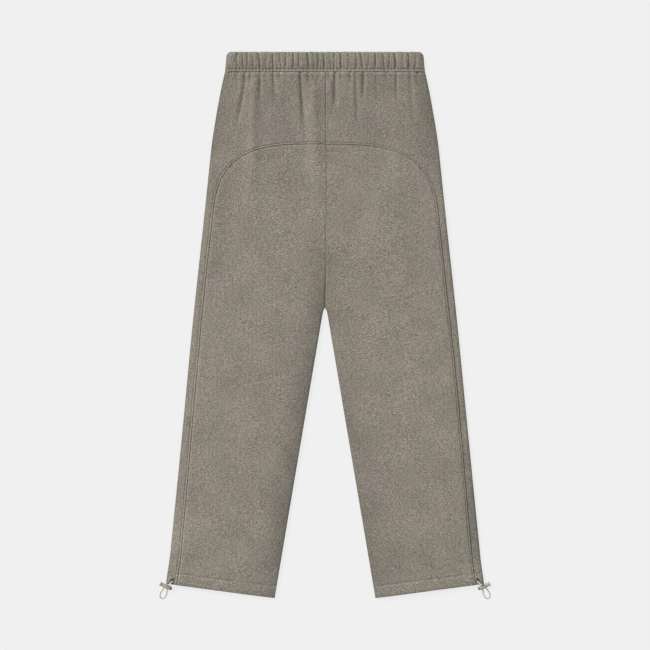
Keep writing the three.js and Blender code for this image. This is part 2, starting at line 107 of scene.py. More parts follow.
# How high the cloth lies.
FOLD_LEVEL = 4.3
YOKE_LIE = 11.6
LEG_LIE = 12.4
HEM_LIE = 8.9
HEM_RISE = 95.0
OUTER_ROUND = 6.0
OUTER_LIE = 8.3
YOKE_OUTER_LIE = {-1: 8.3, 1: 6.0}
YOKE_SLOPE = 62.0
LEG_SLOPE = 115.0
YOKE_ROUND_ROWS = (110.0, 290.0)
INNER_ROUND = 56.0
INNER_RIM = 4.5
INNER_RIM_SHARE = 0.28
CROTCH_FALL_ROWS = (395.0, 500.0)
UNDER_ROUND = 7.0

# Waistband.
BAND_LIE = 10.2
BAND_PUFF = 2.4
BAND_RISE = 0.7
BAND_WALL = 4.2
BAND_ROUND = 15.0
BAND_STITCH_DOWN = 32.9
BAND_CREST_DOWN = 36.4

# Eyelet, cord and lock on the wearer's right. The left ones are their mirror image.
EYELET_X, EYELET_Y, EYELET_RADIUS = 289.8, -485.1, 3.4
LOCK_X, LOCK_Y, LOCK_RADIUS = 301.5, -497.2, 4.0
LOCK_TURN, LOCK_TILT = math.radians(24.5), math.radians(45)
STRAND_OFFSET = 1.5
STRANDS_APART = (1.5, 1.6, 1.95)
LOCK_TAIL_FROM = 8.3
LOCK_SLOT_HALF_LENGTH = 3.2
LOCK_SLOT_HALF_HEIGHT = 1.35
PRESS_TRAVEL = 3.0

# Route of a strand over the hem: share of the way from the eyelet to the lock's hole, and height.
HEM_ROUTE = ((0.06, 5.9), (0.09, 8.0), (0.18, 9.8), (0.31, 10.4), (0.46, 10.4), (0.6, 10.2), (0.75, 9.6))
# Route of the loop beyond the lock: along the barrel, outwards, and height.
LOOP_ROUTE = (
    (2.2, 3.1, 1.37),
    (3.0, 4.9, 1.06),
    (3.8, 7.8, 1.06),
    (4.7, 11.4, 1.06),
    (5.2, 15.4, 1.06),
    (4.6, 19.8, 1.06),
    (2.5, 23.5, 1.06),
    (-0.7, 25.0, 1.06),
    (-4.0, 23.5, 1.06),
    (-6.0, 19.8, 1.06),
    (-6.3, 15.4, 1.06),
    (-5.6, 11.2, 1.06),
    (-4.4, 7.8, 1.06),
    (-3.2, 4.9, 1.06),
    (-2.2, 3.1, 1.37),
)

# Stage: where the key light comes from, its width, how far the floor reaches, and how low it lies.
KEY_AZIMUTH, KEY_ELEVATION, KEY_WIDTH = math.radians(136), math.radians(34), math.radians(22)
FLOOR_REACH, FLOOR_LEVEL = 3000.0, -0.2

# Sewing thread: half thickness of a stitch, how deep its ends sink, how far it lies above the cloth,
# how much of the pitch it takes up, and how far it stays from an edge.
STITCH_RADIUS, STITCH_SINK, STITCH_LIFT, STITCH_SHARE, STITCH_MARGIN = 0.34, 0.3, 0.12, 0.86, 2.5
BAND_MARGIN, SEAM_END = 3, 9
# Eyelet's binding: turns of thread, and the ring's width and half thickness.
BINDING_TURNS, BINDING_WIDTH, BINDING_THICK = 30, 1.1, 0.5
# Cord mesh: distance between its rings, and the sides of a ring.
CORD_STEP, CORD_SIDES = 0.5, 12
LATHE_SIDES = 48

# Gathers and soft folds of the back: x and down of the top and of the foot, depth (a ridge is
# negative), half width, share of the length that keeps its depth, and how much the line bends.
FOLDS = (
    (-183, 38, -186, 74, 1.6, 2.2, 0.2, 1),
    (-168, 38, -171, 74, 1.7, 2.4, 0.2, 1),
    (-153, 38, -176, 160, 2.6, 2.9, 0.55, 1.5),
    (-142.5, 38, -144, 70, 1.5, 2.2, 0.2, 1),
    (-124.5, 38, -126, 112, 2.4, 2.6, 0.3, 1),
    (-113, 38, -113, 66, 1.3, 2.3, 0.2, 1),
    (-99.5, 38, -97, 116, 2.6, 2.8, 0.25, 1),
    (-86.5, 38, -86, 62, 0.9, 2.5, 0.2, 1),
    (-63.5, 38, -63, 58, 0.9, 2.5, 0.2, 1),
    (-49.5, 38, -41, 172, 3.8, 3.0, 0.5, 0.8),
    (-44, 80, -40, 172, 1.1, 8.0, 0.3, 1),
    (-33, 38, -33, 70, 2.0, 2.3, 0.25, 1),
    (-14.5, 38, -16, 72, 1.3, 2.4, 0.2, 1),
    (6.5, 38, 6, 62, 1.2, 2.2, 0.2, 1),
    (17.7, 38, 16.8, 112, 3.4, 2.4, 0.6, 1),
    (29.5, 38, 30, 60, 0.9, 2.2, 0.2, 1),
    (46.5, 38, 46, 72, 2.6, 2.3, 0.25, 1),
    (56, 38, 58, 165, 2.0, 3.4, 0.5, 1),
    (72, 38, 69.5, 104, 3.8, 2.3, 0.4, 1),
    (94, 38, 99, 116, 1.3, 2.8, 0.35, 1),
    (116, 38, 115, 62, 1.3, 2.4, 0.2, 1),
    (134, 38, 134, 112, 2.5, 2.4, 0.4, 1),
    (146, 38, 145, 62, 1.1, 2.4, 0.2, 1),
    (159, 38, 166, 168, 1.6, 3.4, 0.3, 1),
    (174, 38, 174, 66, 1.6, 2.2, 0.2, 1),
    (-29, 58, -22, 350, -3.2, 8.5, 0.3, 1),
    (-140, 48, -150, 350, -3.0, 8.0, 0.35, 1),
    (49, 45, 51, 150, -1.0, 4.0, 0.5, 1),
    (125, 70, 128, 230, -1.2, 10.0, 0.4, 1),
    (5, 42, 5.5, 116, -1.3, 4.0, 0.5, 1),
    (-169, 180, -173, 345, 0.7, 11.0, 0.5, 1),
    (82, 60, 86, 210, 0.6, 10.0, 0.4, 1),
    (-75, 60, -70, 240, 0.6, 12.0, 0.4, 1),
)

# Puckers of the waistband's casing on the back: place across, depth and lean over the band's height.
PUCKERS = (
    (-167, 0.9, 0.5),
    (-156, 1.1, 1.5),
    (-148, 1.2, -0.8),
    (-137, 0.9, 1.0),
    (-125, 2.1, 1.6),
    (-112, 0.8, -1.0),
    (-99, 1.4, 0.6),
    (-85, 0.9, 1.2),
    (-74, 1.1, -0.6),
    (-60, 1.5, 0.9),
    (-50, 1.0, -1.2),
    (-32, 2.0, 2.2),
    (-22, 0.6, 0.4),
    (-13, 1.2, -0.8),
    (-2, 1.2, 0.6),
    (10, 0.8, 1.2),
    (17, 1.1, -0.9),
    (30, 1.6, 1.3),
    (45, 0.8, -0.4),
    (59, 1.5, 1.0),
    (70, 1.5, 2.6),
    (82, 0.8, -1.2),
    (96, 1.4, 0.8),
    (111, 1.6, 1.8),
    (122, 1.1, -0.7),
    (133, 1.9, 1.1),
    (148, 0.7, 0.5),
    (159, 1.8, 1.4),
    (171, 0.8, -0.6),
)


def linear(hex_colour):
    """An sRGB hex colour as linear red, green and blue."""
    digits = hex_colour.lstrip("#")
    parts = [int(digits[i : i + 2], 16) / 255 for i in (0, 2, 4)]
    return tuple(c / 12.92 if c <= 0.04045 else ((c + 0.055) / 1.055) ** 2.4 for c in parts)


# Shaping functions


def ease(low, high, value):
    """0 below low and 1 above high, with a cubic turn between them."""
    s = np.clip((value - low) / (high - low), 0, 1)
    return s * s * (3 - 2 * s)


def bell(value):
    """A Gaussian bump: e to the minus value squared."""
    return np.exp(-np.square(value))


def mix(a, b, share):
    """The point that is share of the way from a to b."""
    return a + (b - a) * share


def quarter(distance, radius):
    """A quarter ellipse: 0 at distance 0, rising upright, and 1 from radius on."""
    s = 1 - np.clip(distance / radius, 0, 1)
    return np.sqrt(np.clip(1 - s * s, 0, 1))


def outer_half(down):
    """Half the garment's width: a band with rounded corners, an eased hip, then a flared leg."""
    down = np.asarray(down, float)
    band = mix(WAIST_TOP_HALF, WAIST_HALF, np.clip(down, 0, WAIST_HEIGHT) / WAIST_HEIGHT)
    left = np.clip(WAIST_CORNER - down, 0, WAIST_CORNER)
    corner = band - WAIST_CORNER + np.sqrt(WAIST_CORNER**2 - left**2)
    s = np.clip((down - WAIST_HEIGHT) / (HIP_DOWN - WAIST_HEIGHT), 0, 1)
    hip = mix(WAIST_HALF, HIP_HALF, s + HIP_EASE * s * (1 - s))
    flare = LEG_FLARE * np.clip(down - HIP_DOWN, 0, None)
    leg = hip + flare + HEM_FLARE * ease(HEM_FLARE_FROM, OUTER_HEM_DOWN, down)
    leg = leg - YOKE_TRIM * bell((down - 118) / 52) + THIGH_EASE * bell((down - 520) / 170)
    return np.where(down < WAIST_HEIGHT, corner, leg)


def inner_half(down):
    """Distance of the inner edge from the middle: half the seam's gap, a rounded fork, a straight inseam."""
    below = np.clip(np.asarray(down, float) - CROTCH_DOWN, 0, None)
    return SEAM_GAP / 2 + INSEAM_SLOPE * below + FORK_RADIUS * (1 - np.exp(-below / FORK_RADIUS))


def inner_down(row):
    """How far down a row is at the inner edge: the leg's rows stretch there to meet the slanted hem."""
    row = np.asarray(row, float)
    return np.where(row <= CROTCH_DOWN, row, CROTCH_DOWN + (row - CROTCH_DOWN) * ROW_STRETCH)


def row_down(row, x):
    """How far down the point x of a row is, straight from the inner edge to the outer fold."""
    x_in = inner_half(inner_down(row))
    share = (x - x_in) / (outer_half(row) - x_in)
    return mix(inner_down(row), row, share)


def side_seam(down):
    """The back seam beside the outer fold: a superellipse arch times the outline less its inset."""
    inset = SIDE_SEAM_INSET + SIDE_SEAM_DRIFT * ease(*SIDE_SEAM_DRIFT_ROWS, down)
    s = np.clip((down - ARCH_DOWN) / ARCH_DEPTH, 0, 1)
    return (outer_half(down) - inset) * (1 - (1 - s) ** ARCH_POWER) ** (1 / ARCH_POWER)


CORNER_X = float(side_seam(CORNER_DOWN))
ARCH_HALF = float(outer_half(CORNER_DOWN)) - SIDE_SEAM_INSET
YOKE_EDGE_SHARE = CORNER_X / float(outer_half(CORNER_DOWN))


def arch_down(x):
    """The arch as a depth over x, up to its corner: the same superellipse."""
    s = np.clip(np.abs(x) / ARCH_HALF, 0, 1)
    return ARCH_DOWN + ARCH_DEPTH * (1 - (1 - s**ARCH_POWER) ** (1 / ARCH_POWER))


def side_point(row):
    """Where a slanted row meets the side seam, found by four rounds of substitution."""
    down = np.asarray(row, float)
    for _ in range(4):
        down = row_down(row, side_seam(down))
    return side_seam(down), down


def seam_curve():
    """The whole back seam of one side as points (x, down), with the length along it at each."""
    x = np.linspace(0, CORNER_X, 260)
    rows = np.linspace(CORNER_DOWN, OUTER_HEM_DOWN + 6, 900)[1:]
    side_x, side_down = side_point(rows)
    points = np.column_stack([np.r_[x, side_x], np.r_[arch_down(x), side_down]])
    steps = np.hypot(*np.diff(points, axis=0).T)
    return points, np.r_[0, np.cumsum(steps)]


SEAM_POINTS, SEAM_ALONG = seam_curve()


def from_seam(x, down):
    """Distance of each point from the back seam, and how far along the seam its nearest point is."""
    flat = np.column_stack([np.ravel(x), np.ravel(down)])
    distance = np.empty(len(flat))
    nearest = np.empty(len(flat), int)
    for start in range(0, len(flat), 4000):
        part = flat[start : start + 4000]
        square = ((part[:, None, :] - SEAM_POINTS[None]) ** 2).sum(axis=2)
        nearest[start : start + 4000] = square.argmin(axis=1)
        distance[start : start + 4000] = np.sqrt(square.min(axis=1))
    shape = np.shape(x)
    return distance.reshape(shape), SEAM_ALONG[nearest].reshape(shape)


def arch_to_side(arch, sides, side, along):
    """A value that is the arch's own along the arch and turns into the side's own down the leg."""
    return mix(arch, sides[side], ease(*ARCH_TO_SIDE, along))


def topstitch_inset(side, along):
    """Distance of the topstitching from the seam."""
    return arch_to_side(ARCH_TOPSTITCH, SIDE_TOPSTITCH, side, along)


def laid(x, down):
    """Where a point of the back came to lie, once the seams drifted as the garment was smoothed out.

    Each drift is a cubic turn along the seam times a Gaussian across it. The wearer's right leg also lies
    about half a millimetre further out below the knee.
    """
    half, level = np.abs(x), np.clip(down, ARCH_DOWN, None)
    inside = ease(1, 13, outer_half(down) - half)
    side_drift = SIDE_DRIFT * ease(480, 610, down) * bell((half - side_seam(level)) / 45)
    middle_drift = MIDDLE_DRIFT * (ease(ARCH_DOWN, 192, down) - ease(300, 380, down)) * bell(x / 45)
    over_arch = bell((down - arch_down(half)) / 30) * np.tanh(x / 60)
    swing = 0.42 * (x > 0) * (ease(560, 740, down) - ease(940, 985, down)) * (0.6 + half / 250)
    new_x = x + (side_drift + middle_drift) * inside + swing
    return new_x, down + ARCH_DRIFT * over_arch * inside + 0.8 * ease(880, 1000, down)


def laid_out(side, x, down):
    """The laid place of a point of one side, as x and y."""
    new_x, new_down = laid(side * x, down)
    return new_x, TOP_EDGE - new_down


def folds(side, x, down, depth_scale):
    """Sum of the folds: each is a Gaussian trough that widens and fades towards its foot.

    The slanting line of the table marks its steepest flank, so the trough's middle lies 0.7 widths beside it.
    """
    total = np.zeros(np.broadcast(x, down).shape)
    for x0, d0, x1, d1, depth, width, hold, bend in FOLDS:
        if x0 * side < 0 and abs(x0) > 35:
            continue
        s = np.clip((down - d0) / (d1 - d0), 0, 1)
        start = ease(d0 - 1, d0 + 18, down) if d0 > 40 else 1.0
        spread = width * (1 + 0.8 * s)
        line = mix(x0, x1, s**bend) + 0.7 * spread
        total = total - depth * start * (1 - ease(hold, 1, s)) * bell((side * x - line) / spread)
    return total * depth_scale


def rumple(x, down, seed, count=14, low=38.0, high=150.0, height=0.2):
    """Soft unevenness: a sum of sine waves of seeded direction, length and phase."""
    rng = np.random.default_rng(seed)
    total = np.zeros(np.broadcast(x, down).shape)
    for _ in range(count):
        angle, phase = rng.uniform(0, 2 * np.pi, 2)
        wave = rng.uniform(low, high)
        along = x * np.cos(angle) + down * np.sin(angle)
        total += np.sin(2 * np.pi * along / wave + phase) * wave / high
    return total * height


def back_height(side, row, x, down, depth_scale):
    """Height of the back: its lie, falling to the folded edges, plus folds, unevenness and the hem.

    From the outer rim, a quarter ellipse, it climbs by the square of the distance. The inner edge has a small
    upright rim and then climbs by a power of the distance.
    """
    level = np.where(row < CROTCH_DOWN, down, row)
    from_outer = outer_half(level) - x
    from_inner = x - inner_half(inner_down(level))
    fall = ease(*CROTCH_FALL_ROWS, level)
    slope = 1 - (1 - np.clip(from_inner / INNER_ROUND, 0, 1)) ** 2.4
    rise = mix(slope, quarter(from_inner, INNER_RIM), INNER_RIM_SHARE)
    below_yoke = ease(*YOKE_ROUND_ROWS, level)
    sides = quarter(from_outer, OUTER_ROUND) * mix(1.0, rise, fall)
    above_hem = OUTER_HEM_DOWN - level
    middle = mix(HEM_LIE, mix(YOKE_LIE, LEG_LIE, below_yoke), ease(HEM_HEIGHT - 4, HEM_RISE, above_hem))
    reach = mix(YOKE_SLOPE, LEG_SLOPE, below_yoke)
    outer_lie = mix(YOKE_OUTER_LIE[side], OUTER_LIE, np.maximum(below_yoke, 1 - ease(45, 95, level)))
    lie = mix(middle, outer_lie, (1 - np.clip(from_outer / reach, 0, 1)) ** 2)
    relief = folds(side, x, down, depth_scale) + rumple(side * x, down, 5)
    hem = hem_relief(side, level, x) * quarter(from_outer, 9)
    return FOLD_LEVEL + (lie - FOLD_LEVEL) * sides + relief * sides + hem


def hem_relief(side, level, x):
    """The turned-up hem: a stitched groove, ripples that die away from it, a puffed band and a round edge."""
    above = OUTER_HEM_DOWN - level
    from_line = above - HEM_HEIGHT
    groove = -HEM_GROOVE[side] * bell(from_line / 1.25)
    band = 0.7 * ease(22, 17, above) * ease(1, 7, above)
    wave = np.sin(2 * np.pi * (x + 0.35 * from_line * side) / 11.5 + 1.6 * np.sin(x / 17.0))
    ripples = 0.35 * wave * bell((from_line + 4) / 7.5) * ease(0, 1.6, np.abs(from_line))
    edge = -2.4 * (1 - quarter(np.clip(above, 0, None), 2.2))
    return groove + band + ripples + edge


def seam_pucker(along, phase=0.0):
    """Ripples along the back seam: a sine wave whose length drifts."""
    return np.sin(2 * np.pi * along / 8.3 + 2 * np.sin(along / 31.0) + phase)


def seam_ridge(side, distance, along):
    """Outer side of the back seam: a dip at the seam, a ridge over the allowances, a topstitched groove."""
    inset = topstitch_inset(side, along)
    dip = arch_to_side(SEAM_DIP, SIDE_DIP, side, along) * bell(distance / 0.75)
    across = ease(0.2, 1.5, distance) - ease(inset - 0.9, inset + 0.6, distance)
    ridge = arch_to_side(SEAM_RIDGE, SIDE_RIDGE, side, along) * across
    groove = arch_to_side(STITCH_GROOVE, SIDE_GROOVE, side, along) * bell((distance - inset) / 0.95)
    return ridge - dip - groove + 0.2 * seam_pucker(along) * bell((distance - 6.5) / 3.5)


def seam_shoulder(side, distance, along):
    """Inner side of the back seam: the leg panel dips into the seam from a low shoulder."""
    spread = np.where(distance < 2.7, 2.2, 13.0)
    shoulder = SHOULDER[side] * bell((distance - 2.7) / spread)
    dip = arch_to_side(SEAM_DIP, SIDE_DIP, side, along) * bell(distance / 0.8)
    return shoulder - dip + 0.18 * seam_pucker(along, 0.8) * bell((distance - 3) / 3)


def middle_seam(side, x, down):
    """The seam down the middle of the seat: a narrow dip that is deeper in the yoke than below it."""
    depth = np.where(down < ARCH_DOWN, 1.3, 0.8) * (1 - ease(430, 487, down))
    return -depth * bell((x - side * MIDDLE_SHIFT) / 0.6)


def graded(length, start, end, step):
    """Places from 0 to length: the given offsets at both ends and even steps between them."""
    low, high = start[-1], length - end[-1]
    middle = np.linspace(low, high, max(2, int(round((high - low) / step)) + 1))[1:-1]
    return np.r_[start, middle, length - np.array(end)[::-1]]


# Meshes


def grid_faces(rows, columns, first=0):
    """Quads of a grid of points that are numbered along its rows."""
    i, j = np.meshgrid(np.arange(rows - 1), np.arange(columns - 1), indexing="ij")
    a = first + i * columns + j
    return np.stack([a, a + columns, a + columns + 1, a + 1], axis=-1).reshape(-1, 4)


def put_object(name, points, faces, material, weld=0.0):
    """A new object from points in millimetres, at the origin, welded where its grids meet."""
    mesh = bpy.data.meshes.new(name)
    face_list = faces.tolist() if isinstance(faces, np.ndarray) else faces
    mesh.from_pydata((np.asarray(points) * MM).tolist(), [], face_list)
    mesh.update()
    if weld:
        shape = bmesh.new()
        shape.from_mesh(mesh)
        bmesh.ops.remove_doubles(shape, verts=shape.verts, dist=weld * MM)
        loose = [v for v in shape.verts if not v.link_faces]
        bmesh.ops.delete(shape, geom=loose, context="VERTS")
        shape.to_mesh(mesh)
        shape.free()
    mesh.polygons.foreach_set("use_smooth", [True] * len(mesh.polygons))
    mesh.materials.append(material)
    made = bpy.data.objects.new(name, mesh)
    bpy.context.collection.objects.link(made)
    return made


def thicken(piece, thickness):
    """Gives a skin its wall, inwards."""
    wall = piece.modifiers.new("wall", "SOLIDIFY")
    wall.thickness = thickness * MM
    wall.offset = -1
    wall.use_even_offset = False


def bake_modifiers(piece):
    """Replaces a piece's mesh by what its modifiers make of it."""
    evaluated = piece.evaluated_get(bpy.context.evaluated_depsgraph_get())
    mesh = bpy.data.meshes.new_from_object(evaluated)
    piece.modifiers.clear()
    old, piece.data = piece.data, mesh
    mesh.name = piece.name
    bpy.data.meshes.remove(old)


def tube_points(line, radius, sides):
    """Rings about a line: its points plus the radius times the cosine and sine along two normals."""
    tangent = np.gradient(line, axis=0)
    tangent /= np.linalg.norm(tangent, axis=1, keepdims=True)
    up = np.array([0.0, 0.0, 1.0])
    across = np.cross(tangent, up)
    across /= np.maximum(np.linalg.norm(across, axis=1, keepdims=True), 1e-9)
    normal = np.cross(across, tangent)
    angle = np.linspace(0, 2 * np.pi, sides, endpoint=False)
    cos, sin = np.cos(angle)[None, :, None], np.sin(angle)[None, :, None]
    return line[:, None] + radius * (cos * across[:, None] + sin * normal[:, None])


def closed_faces(rings, sides):
    """Quads between rings that close round themselves, open at both ends."""
    i, j = np.meshgrid(np.arange(rings - 1), np.arange(sides), indexing="ij")
    a, b = i * sides + j, i * sides + (j + 1) % sides
    return np.stack([a, b, b + sides, a + sides], axis=-1).reshape(-1, 4)


def capped_faces(rings, sides):
    """Quads between rings, and one flat face at each end."""
    last = (rings - 1) * sides
    return closed_faces(rings, sides).tolist() + [list(range(sides))[::-1], list(range(last, last + sides))]


def vertex_places(mesh):
    """Coordinates of a mesh's vertices in millimetres, as x, y and z."""
    places = np.empty(len(mesh.vertices) * 3)
    mesh.vertices.foreach_get("co", places)
    return (places.reshape(-1, 3) / MM).T


def paint_points(mesh, name, values):
    """Stores one value a vertex under a name that a material can read."""
    layer = mesh.attributes.new(name, "FLOAT", "POINT")
    layer.data.foreach_set("value", values.astype(np.float32))


def smooth_line(points, count):
    """A centripetal Catmull-Rom curve through the points, sampled evenly in its parameter."""
    p = np.asarray(points, float)
    p = np.vstack([2 * p[0] - p[1], p, 2 * p[-1] - p[-2]])
    knots = np.r_[0, np.cumsum(np.linalg.norm(np.diff(p, axis=0), axis=1) ** 0.5)]
    t = np.linspace(0, len(p) - 3, count)
    k = np.minimum(t.astype(int), len(p) - 4)
    t0, t1, t2, t3 = (knots[k + i][:, None] for i in range(4))
    p0, p1, p2, p3 = (p[k + i] for i in range(4))
    u = t1 + (t - k)[:, None] * (t2 - t1)
    a1 = (t1 - u) / (t1 - t0) * p0 + (u - t0) / (t1 - t0) * p1
    a2 = (t2 - u) / (t2 - t1) * p1 + (u - t1) / (t2 - t1) * p2
    a3 = (t3 - u) / (t3 - t2) * p2 + (u - t2) / (t3 - t2) * p3
    b1 = (t2 - u) / (t2 - t0) * a1 + (u - t0) / (t2 - t0) * a2
    b2 = (t3 - u) / (t3 - t1) * a2 + (u - t1) / (t3 - t1) * a3
    return (t2 - u) / (t2 - t1) * b1 + (u - t1) / (t2 - t1) * b2


def evenly(line, step):
    """A line's points again, the given step apart along it."""
    along = np.r_[0, np.cumsum(np.linalg.norm(np.diff(line, axis=0), axis=1))]
    places = np.linspace(0, along[-1], max(2, int(along[-1] / step) + 1))
    return np.column_stack([np.interp(places, along, line[:, k]) for k in range(3)])


# Materials


def add_node(tree, kind, inputs=None, **settings):
    """Adds a node with its settings. An input is a value, or a socket to link to it."""
    node = tree.nodes.new(kind)
    for key, value in settings.items():
        setattr(node, key, value)
    for key, value in (inputs or {}).items():
        if isinstance(value, bpy.types.NodeSocket):
            tree.links.new(value, node.inputs[key])
        else:
            node.inputs[key].default_value = value
    return node


def new_material(name):
    """A material with its node tree, its Principled shader and the object's own coordinates."""
    made = bpy.data.materials.new(name)
    made.use_nodes = True
    place = add_node(made.node_tree, "ShaderNodeTexCoord").outputs["Object"]
    return made, made.node_tree, made.node_tree.nodes["Principled BSDF"], place


def noise(tree, place, size_mm, detail=2.0, rough=0.5):
    """A noise whose grains are about size_mm across."""
    settings = {"Vector": place, "Scale": 1000.0 / size_mm, "Detail": detail, "Roughness": rough}
    return add_node(tree, "ShaderNodeTexNoise", settings).outputs["Fac"]


def remap(tree, value, low, high, to_low, to_high):
    """Moves a value from one range to another, clamped."""
    inputs = {0: value, 1: low, 2: high, 3: to_low, 4: to_high}
    return add_node(tree, "ShaderNodeMapRange", inputs).outputs[0]


def calculate(tree, operation, a, b):
    """One step of arithmetic."""
    return add_node(tree, "ShaderNodeMath", {0: a, 1: b}, operation=operation).outputs[0]


def blend(tree, factor, a, b, blend_type="MIX"):
    """Blends two colours."""
    inputs = {0: factor, 6: a, 7: b}
    return add_node(tree, "ShaderNodeMix", inputs, data_type="RGBA", blend_type=blend_type).outputs[2]


def scaled(colour, share):
    """A colour made lighter or darker."""
    return tuple(c * share for c in colour) + (1.0,)


def tinted(tree, colour, share):
    """A colour times another colour."""
    return blend(tree, 1.0, colour, share, "MULTIPLY")


def grey(tree, value):
    """A value as a colour."""
    return add_node(tree, "ShaderNodeCombineColor", {0: value, 1: value, 2: value}).outputs[0]


def painted(tree, name):
    """A value that was painted on the mesh's points."""
    return add_node(tree, "ShaderNodeAttribute", attribute_name=name).outputs["Fac"]


def flecked(tree, factor, base, dark, light):
    """A colour that runs from a darker to a lighter share of itself."""
    return blend(tree, remap(tree, factor, 0.3, 0.7, 0, 1), scaled(base, dark), scaled(base, light))


def finish_surface(tree, shader, colour, height=None, strength=0.0, depth_mm=0.0, **values):
    """Links a shader's colour and its bump, and sets constant values on its sockets."""
    tree.links.new(colour, shader.inputs["Base Color"])
    if height is not None:
        relief = {"Strength": strength, "Distance": depth_mm * MM, "Height": height}
        bump = add_node(tree, "ShaderNodeBump", relief)
        tree.links.new(bump.outputs[0], shader.inputs["Normal"])
    for name, value in values.items():
        shader.inputs[name.replace("_", " ")].default_value = value


def fleece_material(name, settings, shade=(1, 1, 1)):
    """Sweatshirt fleece of cotton and polyester, face side out, in a yarn-dyed heather.

    It is dull and dry: no gloss, a faint lift of light at grazing angles from loose fibres, and
    flecks of paler and darker yarn that merge into soft clouds a few centimetres across.
    """
    made, tree, shader, place = new_material(name)
    base = tuple(c * share for c, share in zip(linear(settings.fleece_colour), shade))
    # Flecks: real yarn is 0.4 mm thick, drawn 1.1 mm across so that it shows at this distance.
    fleck = noise(tree, place, 1.1, 1.0)
    # Streaks: the same yarns where they lie along a knitted row, longer than they are wide.
    stretch = {"Vector": place, "Scale": (0.45, 1.5, 1.0), "Rotation": (0, 0, 0.1)}
    yarn = noise(tree, add_node(tree, "ShaderNodeMapping", stretch).outputs[0], 1.3, 1.0)
    cloud = noise(tree, place, 60.0, 1.0)
    low, high = 1 - settings.fleck_contrast, 1 + settings.fleck_contrast
    # The painted shade and painted highlights of the mesh's shade attribute multiply the colour.
    tone = painted(tree, "shade")
    for factor, darkest, lightest in ((fleck, low, high), (yarn, low, high), (cloud, 0.93, 1.07)):
        tone = calculate(tree, "MULTIPLY", tone, remap(tree, factor, 0.3, 0.7, darkest, lightest))
    # Hue: warmer and cooler yarns, a slow drift of the dye, and a greener cast where the nap lies flat.
    warm = (base[0] * 1.02, base[1] * 0.995, base[2] * 0.985, 1)
    cool = (base[0] * 0.985, base[1] * 1.005, base[2] * 1.01, 1)
    hue = remap(tree, noise(tree, place, 10.0, 2.0, 0.6), 0.36, 0.64, 0, 1)
    drift = remap(tree, noise(tree, place, 80.0), 0.35, 0.65, 0, 1)
    dye = blend(tree, drift, (1.008, 0.996, 1.012, 1), (0.994, 1.003, 0.968, 1))
    flat_nap = blend(tree, painted(tree, "cool"), (1, 1, 1, 1), (0.945, 1.012, 1.0, 1))
    colour = tinted(tree, tinted(tree, blend(tree, hue, warm, cool), dye), flat_nap)
    # Knitted columns 1.2 mm apart run down the leg, blurred by loose fibres.
    ribs = {"Vector": place, "Scale": 1000.0 / 1.2 / 20, "Distortion": 1.5, "Detail": 1.0}
    ribs["Detail Scale"] = 2.0
    wales = add_node(tree, "ShaderNodeTexWave", ribs, bands_direction="X").outputs["Fac"]
    nap = noise(tree, place, 0.9, 3.0, 0.65)
    relief = calculate(tree, "ADD", calculate(tree, "MULTIPLY", wales, 0.35), nap)
    finish_surface(
        tree,
        shader,
        tinted(tree, colour, grey(tree, tone)),
        relief,
        0.55,
        settings.nap,
        Specular_IOR_Level=0.2,
        Sheen_Weight=0.12,
        Sheen_Roughness=0.55,
        Sheen_Tint=scaled(base, 2.2),
    )
    tree.links.new(remap(tree, nap, 0.3, 0.7, 0.88, 1.0), shader.inputs["Roughness"])
    return made


def thread_material(name, colour):
    """Spun polyester sewing thread: slightly glossier than the cloth, with a fine twist."""
    made, tree, shader, place = new_material(name)
    twist = noise(tree, place, 0.5, 1.0)
    tone = flecked(tree, twist, linear(colour), 0.86, 1.12)
    finish_surface(tree, shader, tone, twist, 0.4, 0.1, Roughness=0.7, Sheen_Weight=0.1)
    return made


def cord_material(name, colour):
    """Covered elastic cord: a fine polyester braid, dull with light tips on its crossing yarns."""
    made, tree, shader, place = new_material(name)
    uv = add_node(tree, "ShaderNodeUVMap", uv_map="along").outputs[0]
    # The map runs in millimetres along the cord and round it. The braid's crossings are 0.8 mm apart.
    braid = add_node(tree, "ShaderNodeTexChecker", {"Vector": uv, "Scale": 1.0 / 0.8}).outputs["Fac"]
    grain = noise(tree, place, 0.5)
    base = linear(colour)
    tone = flecked(tree, grain, base, 0.9, 1.1)
    crossed = blend(tree, calculate(tree, "MULTIPLY", braid, 0.25), tone, scaled(base, 0.72))
    lit = tinted(tree, crossed, grey(tree, painted(tree, "light")))
    height = calculate(tree, "ADD", calculate(tree, "MULTIPLY", braid, 0.5), grain)
    finish_surface(tree, shader, lit, height, 0.5, 0.12, Roughness=0.82, Sheen_Weight=0.15)
    return made


def lock_material(name, colour):
    """Moulded acetal from a fine-sparked tool: an even satin surface with soft highlights."""
    made, tree, shader, place = new_material(name)
    grain = noise(tree, place, 0.35)
    tone = flecked(tree, noise(tree, place, 6.0), linear(colour), 0.95, 1.05)
    finish_surface(tree, shader, tone, grain, 0.25, 0.05, IOR=1.48)
    tree.links.new(remap(tree, grain, 0.3, 0.7, 0.4, 0.52), shader.inputs["Roughness"])
    return made


def floor_material(settings):
    """Matt seamless paper: pale, even and faintly toothed."""
    made, tree, shader, place = new_material("seamless_paper")
    tone = flecked(tree, noise(tree, place, 2.0), linear(settings.floor_colour), 0.995, 1.0)
    white, glow = (1, 1, 1, 1), settings.floor_glow
    paper = {"Roughness": 0.95, "Specular_IOR_Level": 0.1}
    finish_surface(tree, shader, tone, Emission_Color=white, Emission_Strength=glow, **paper)
    return made


# Cloth surfaces


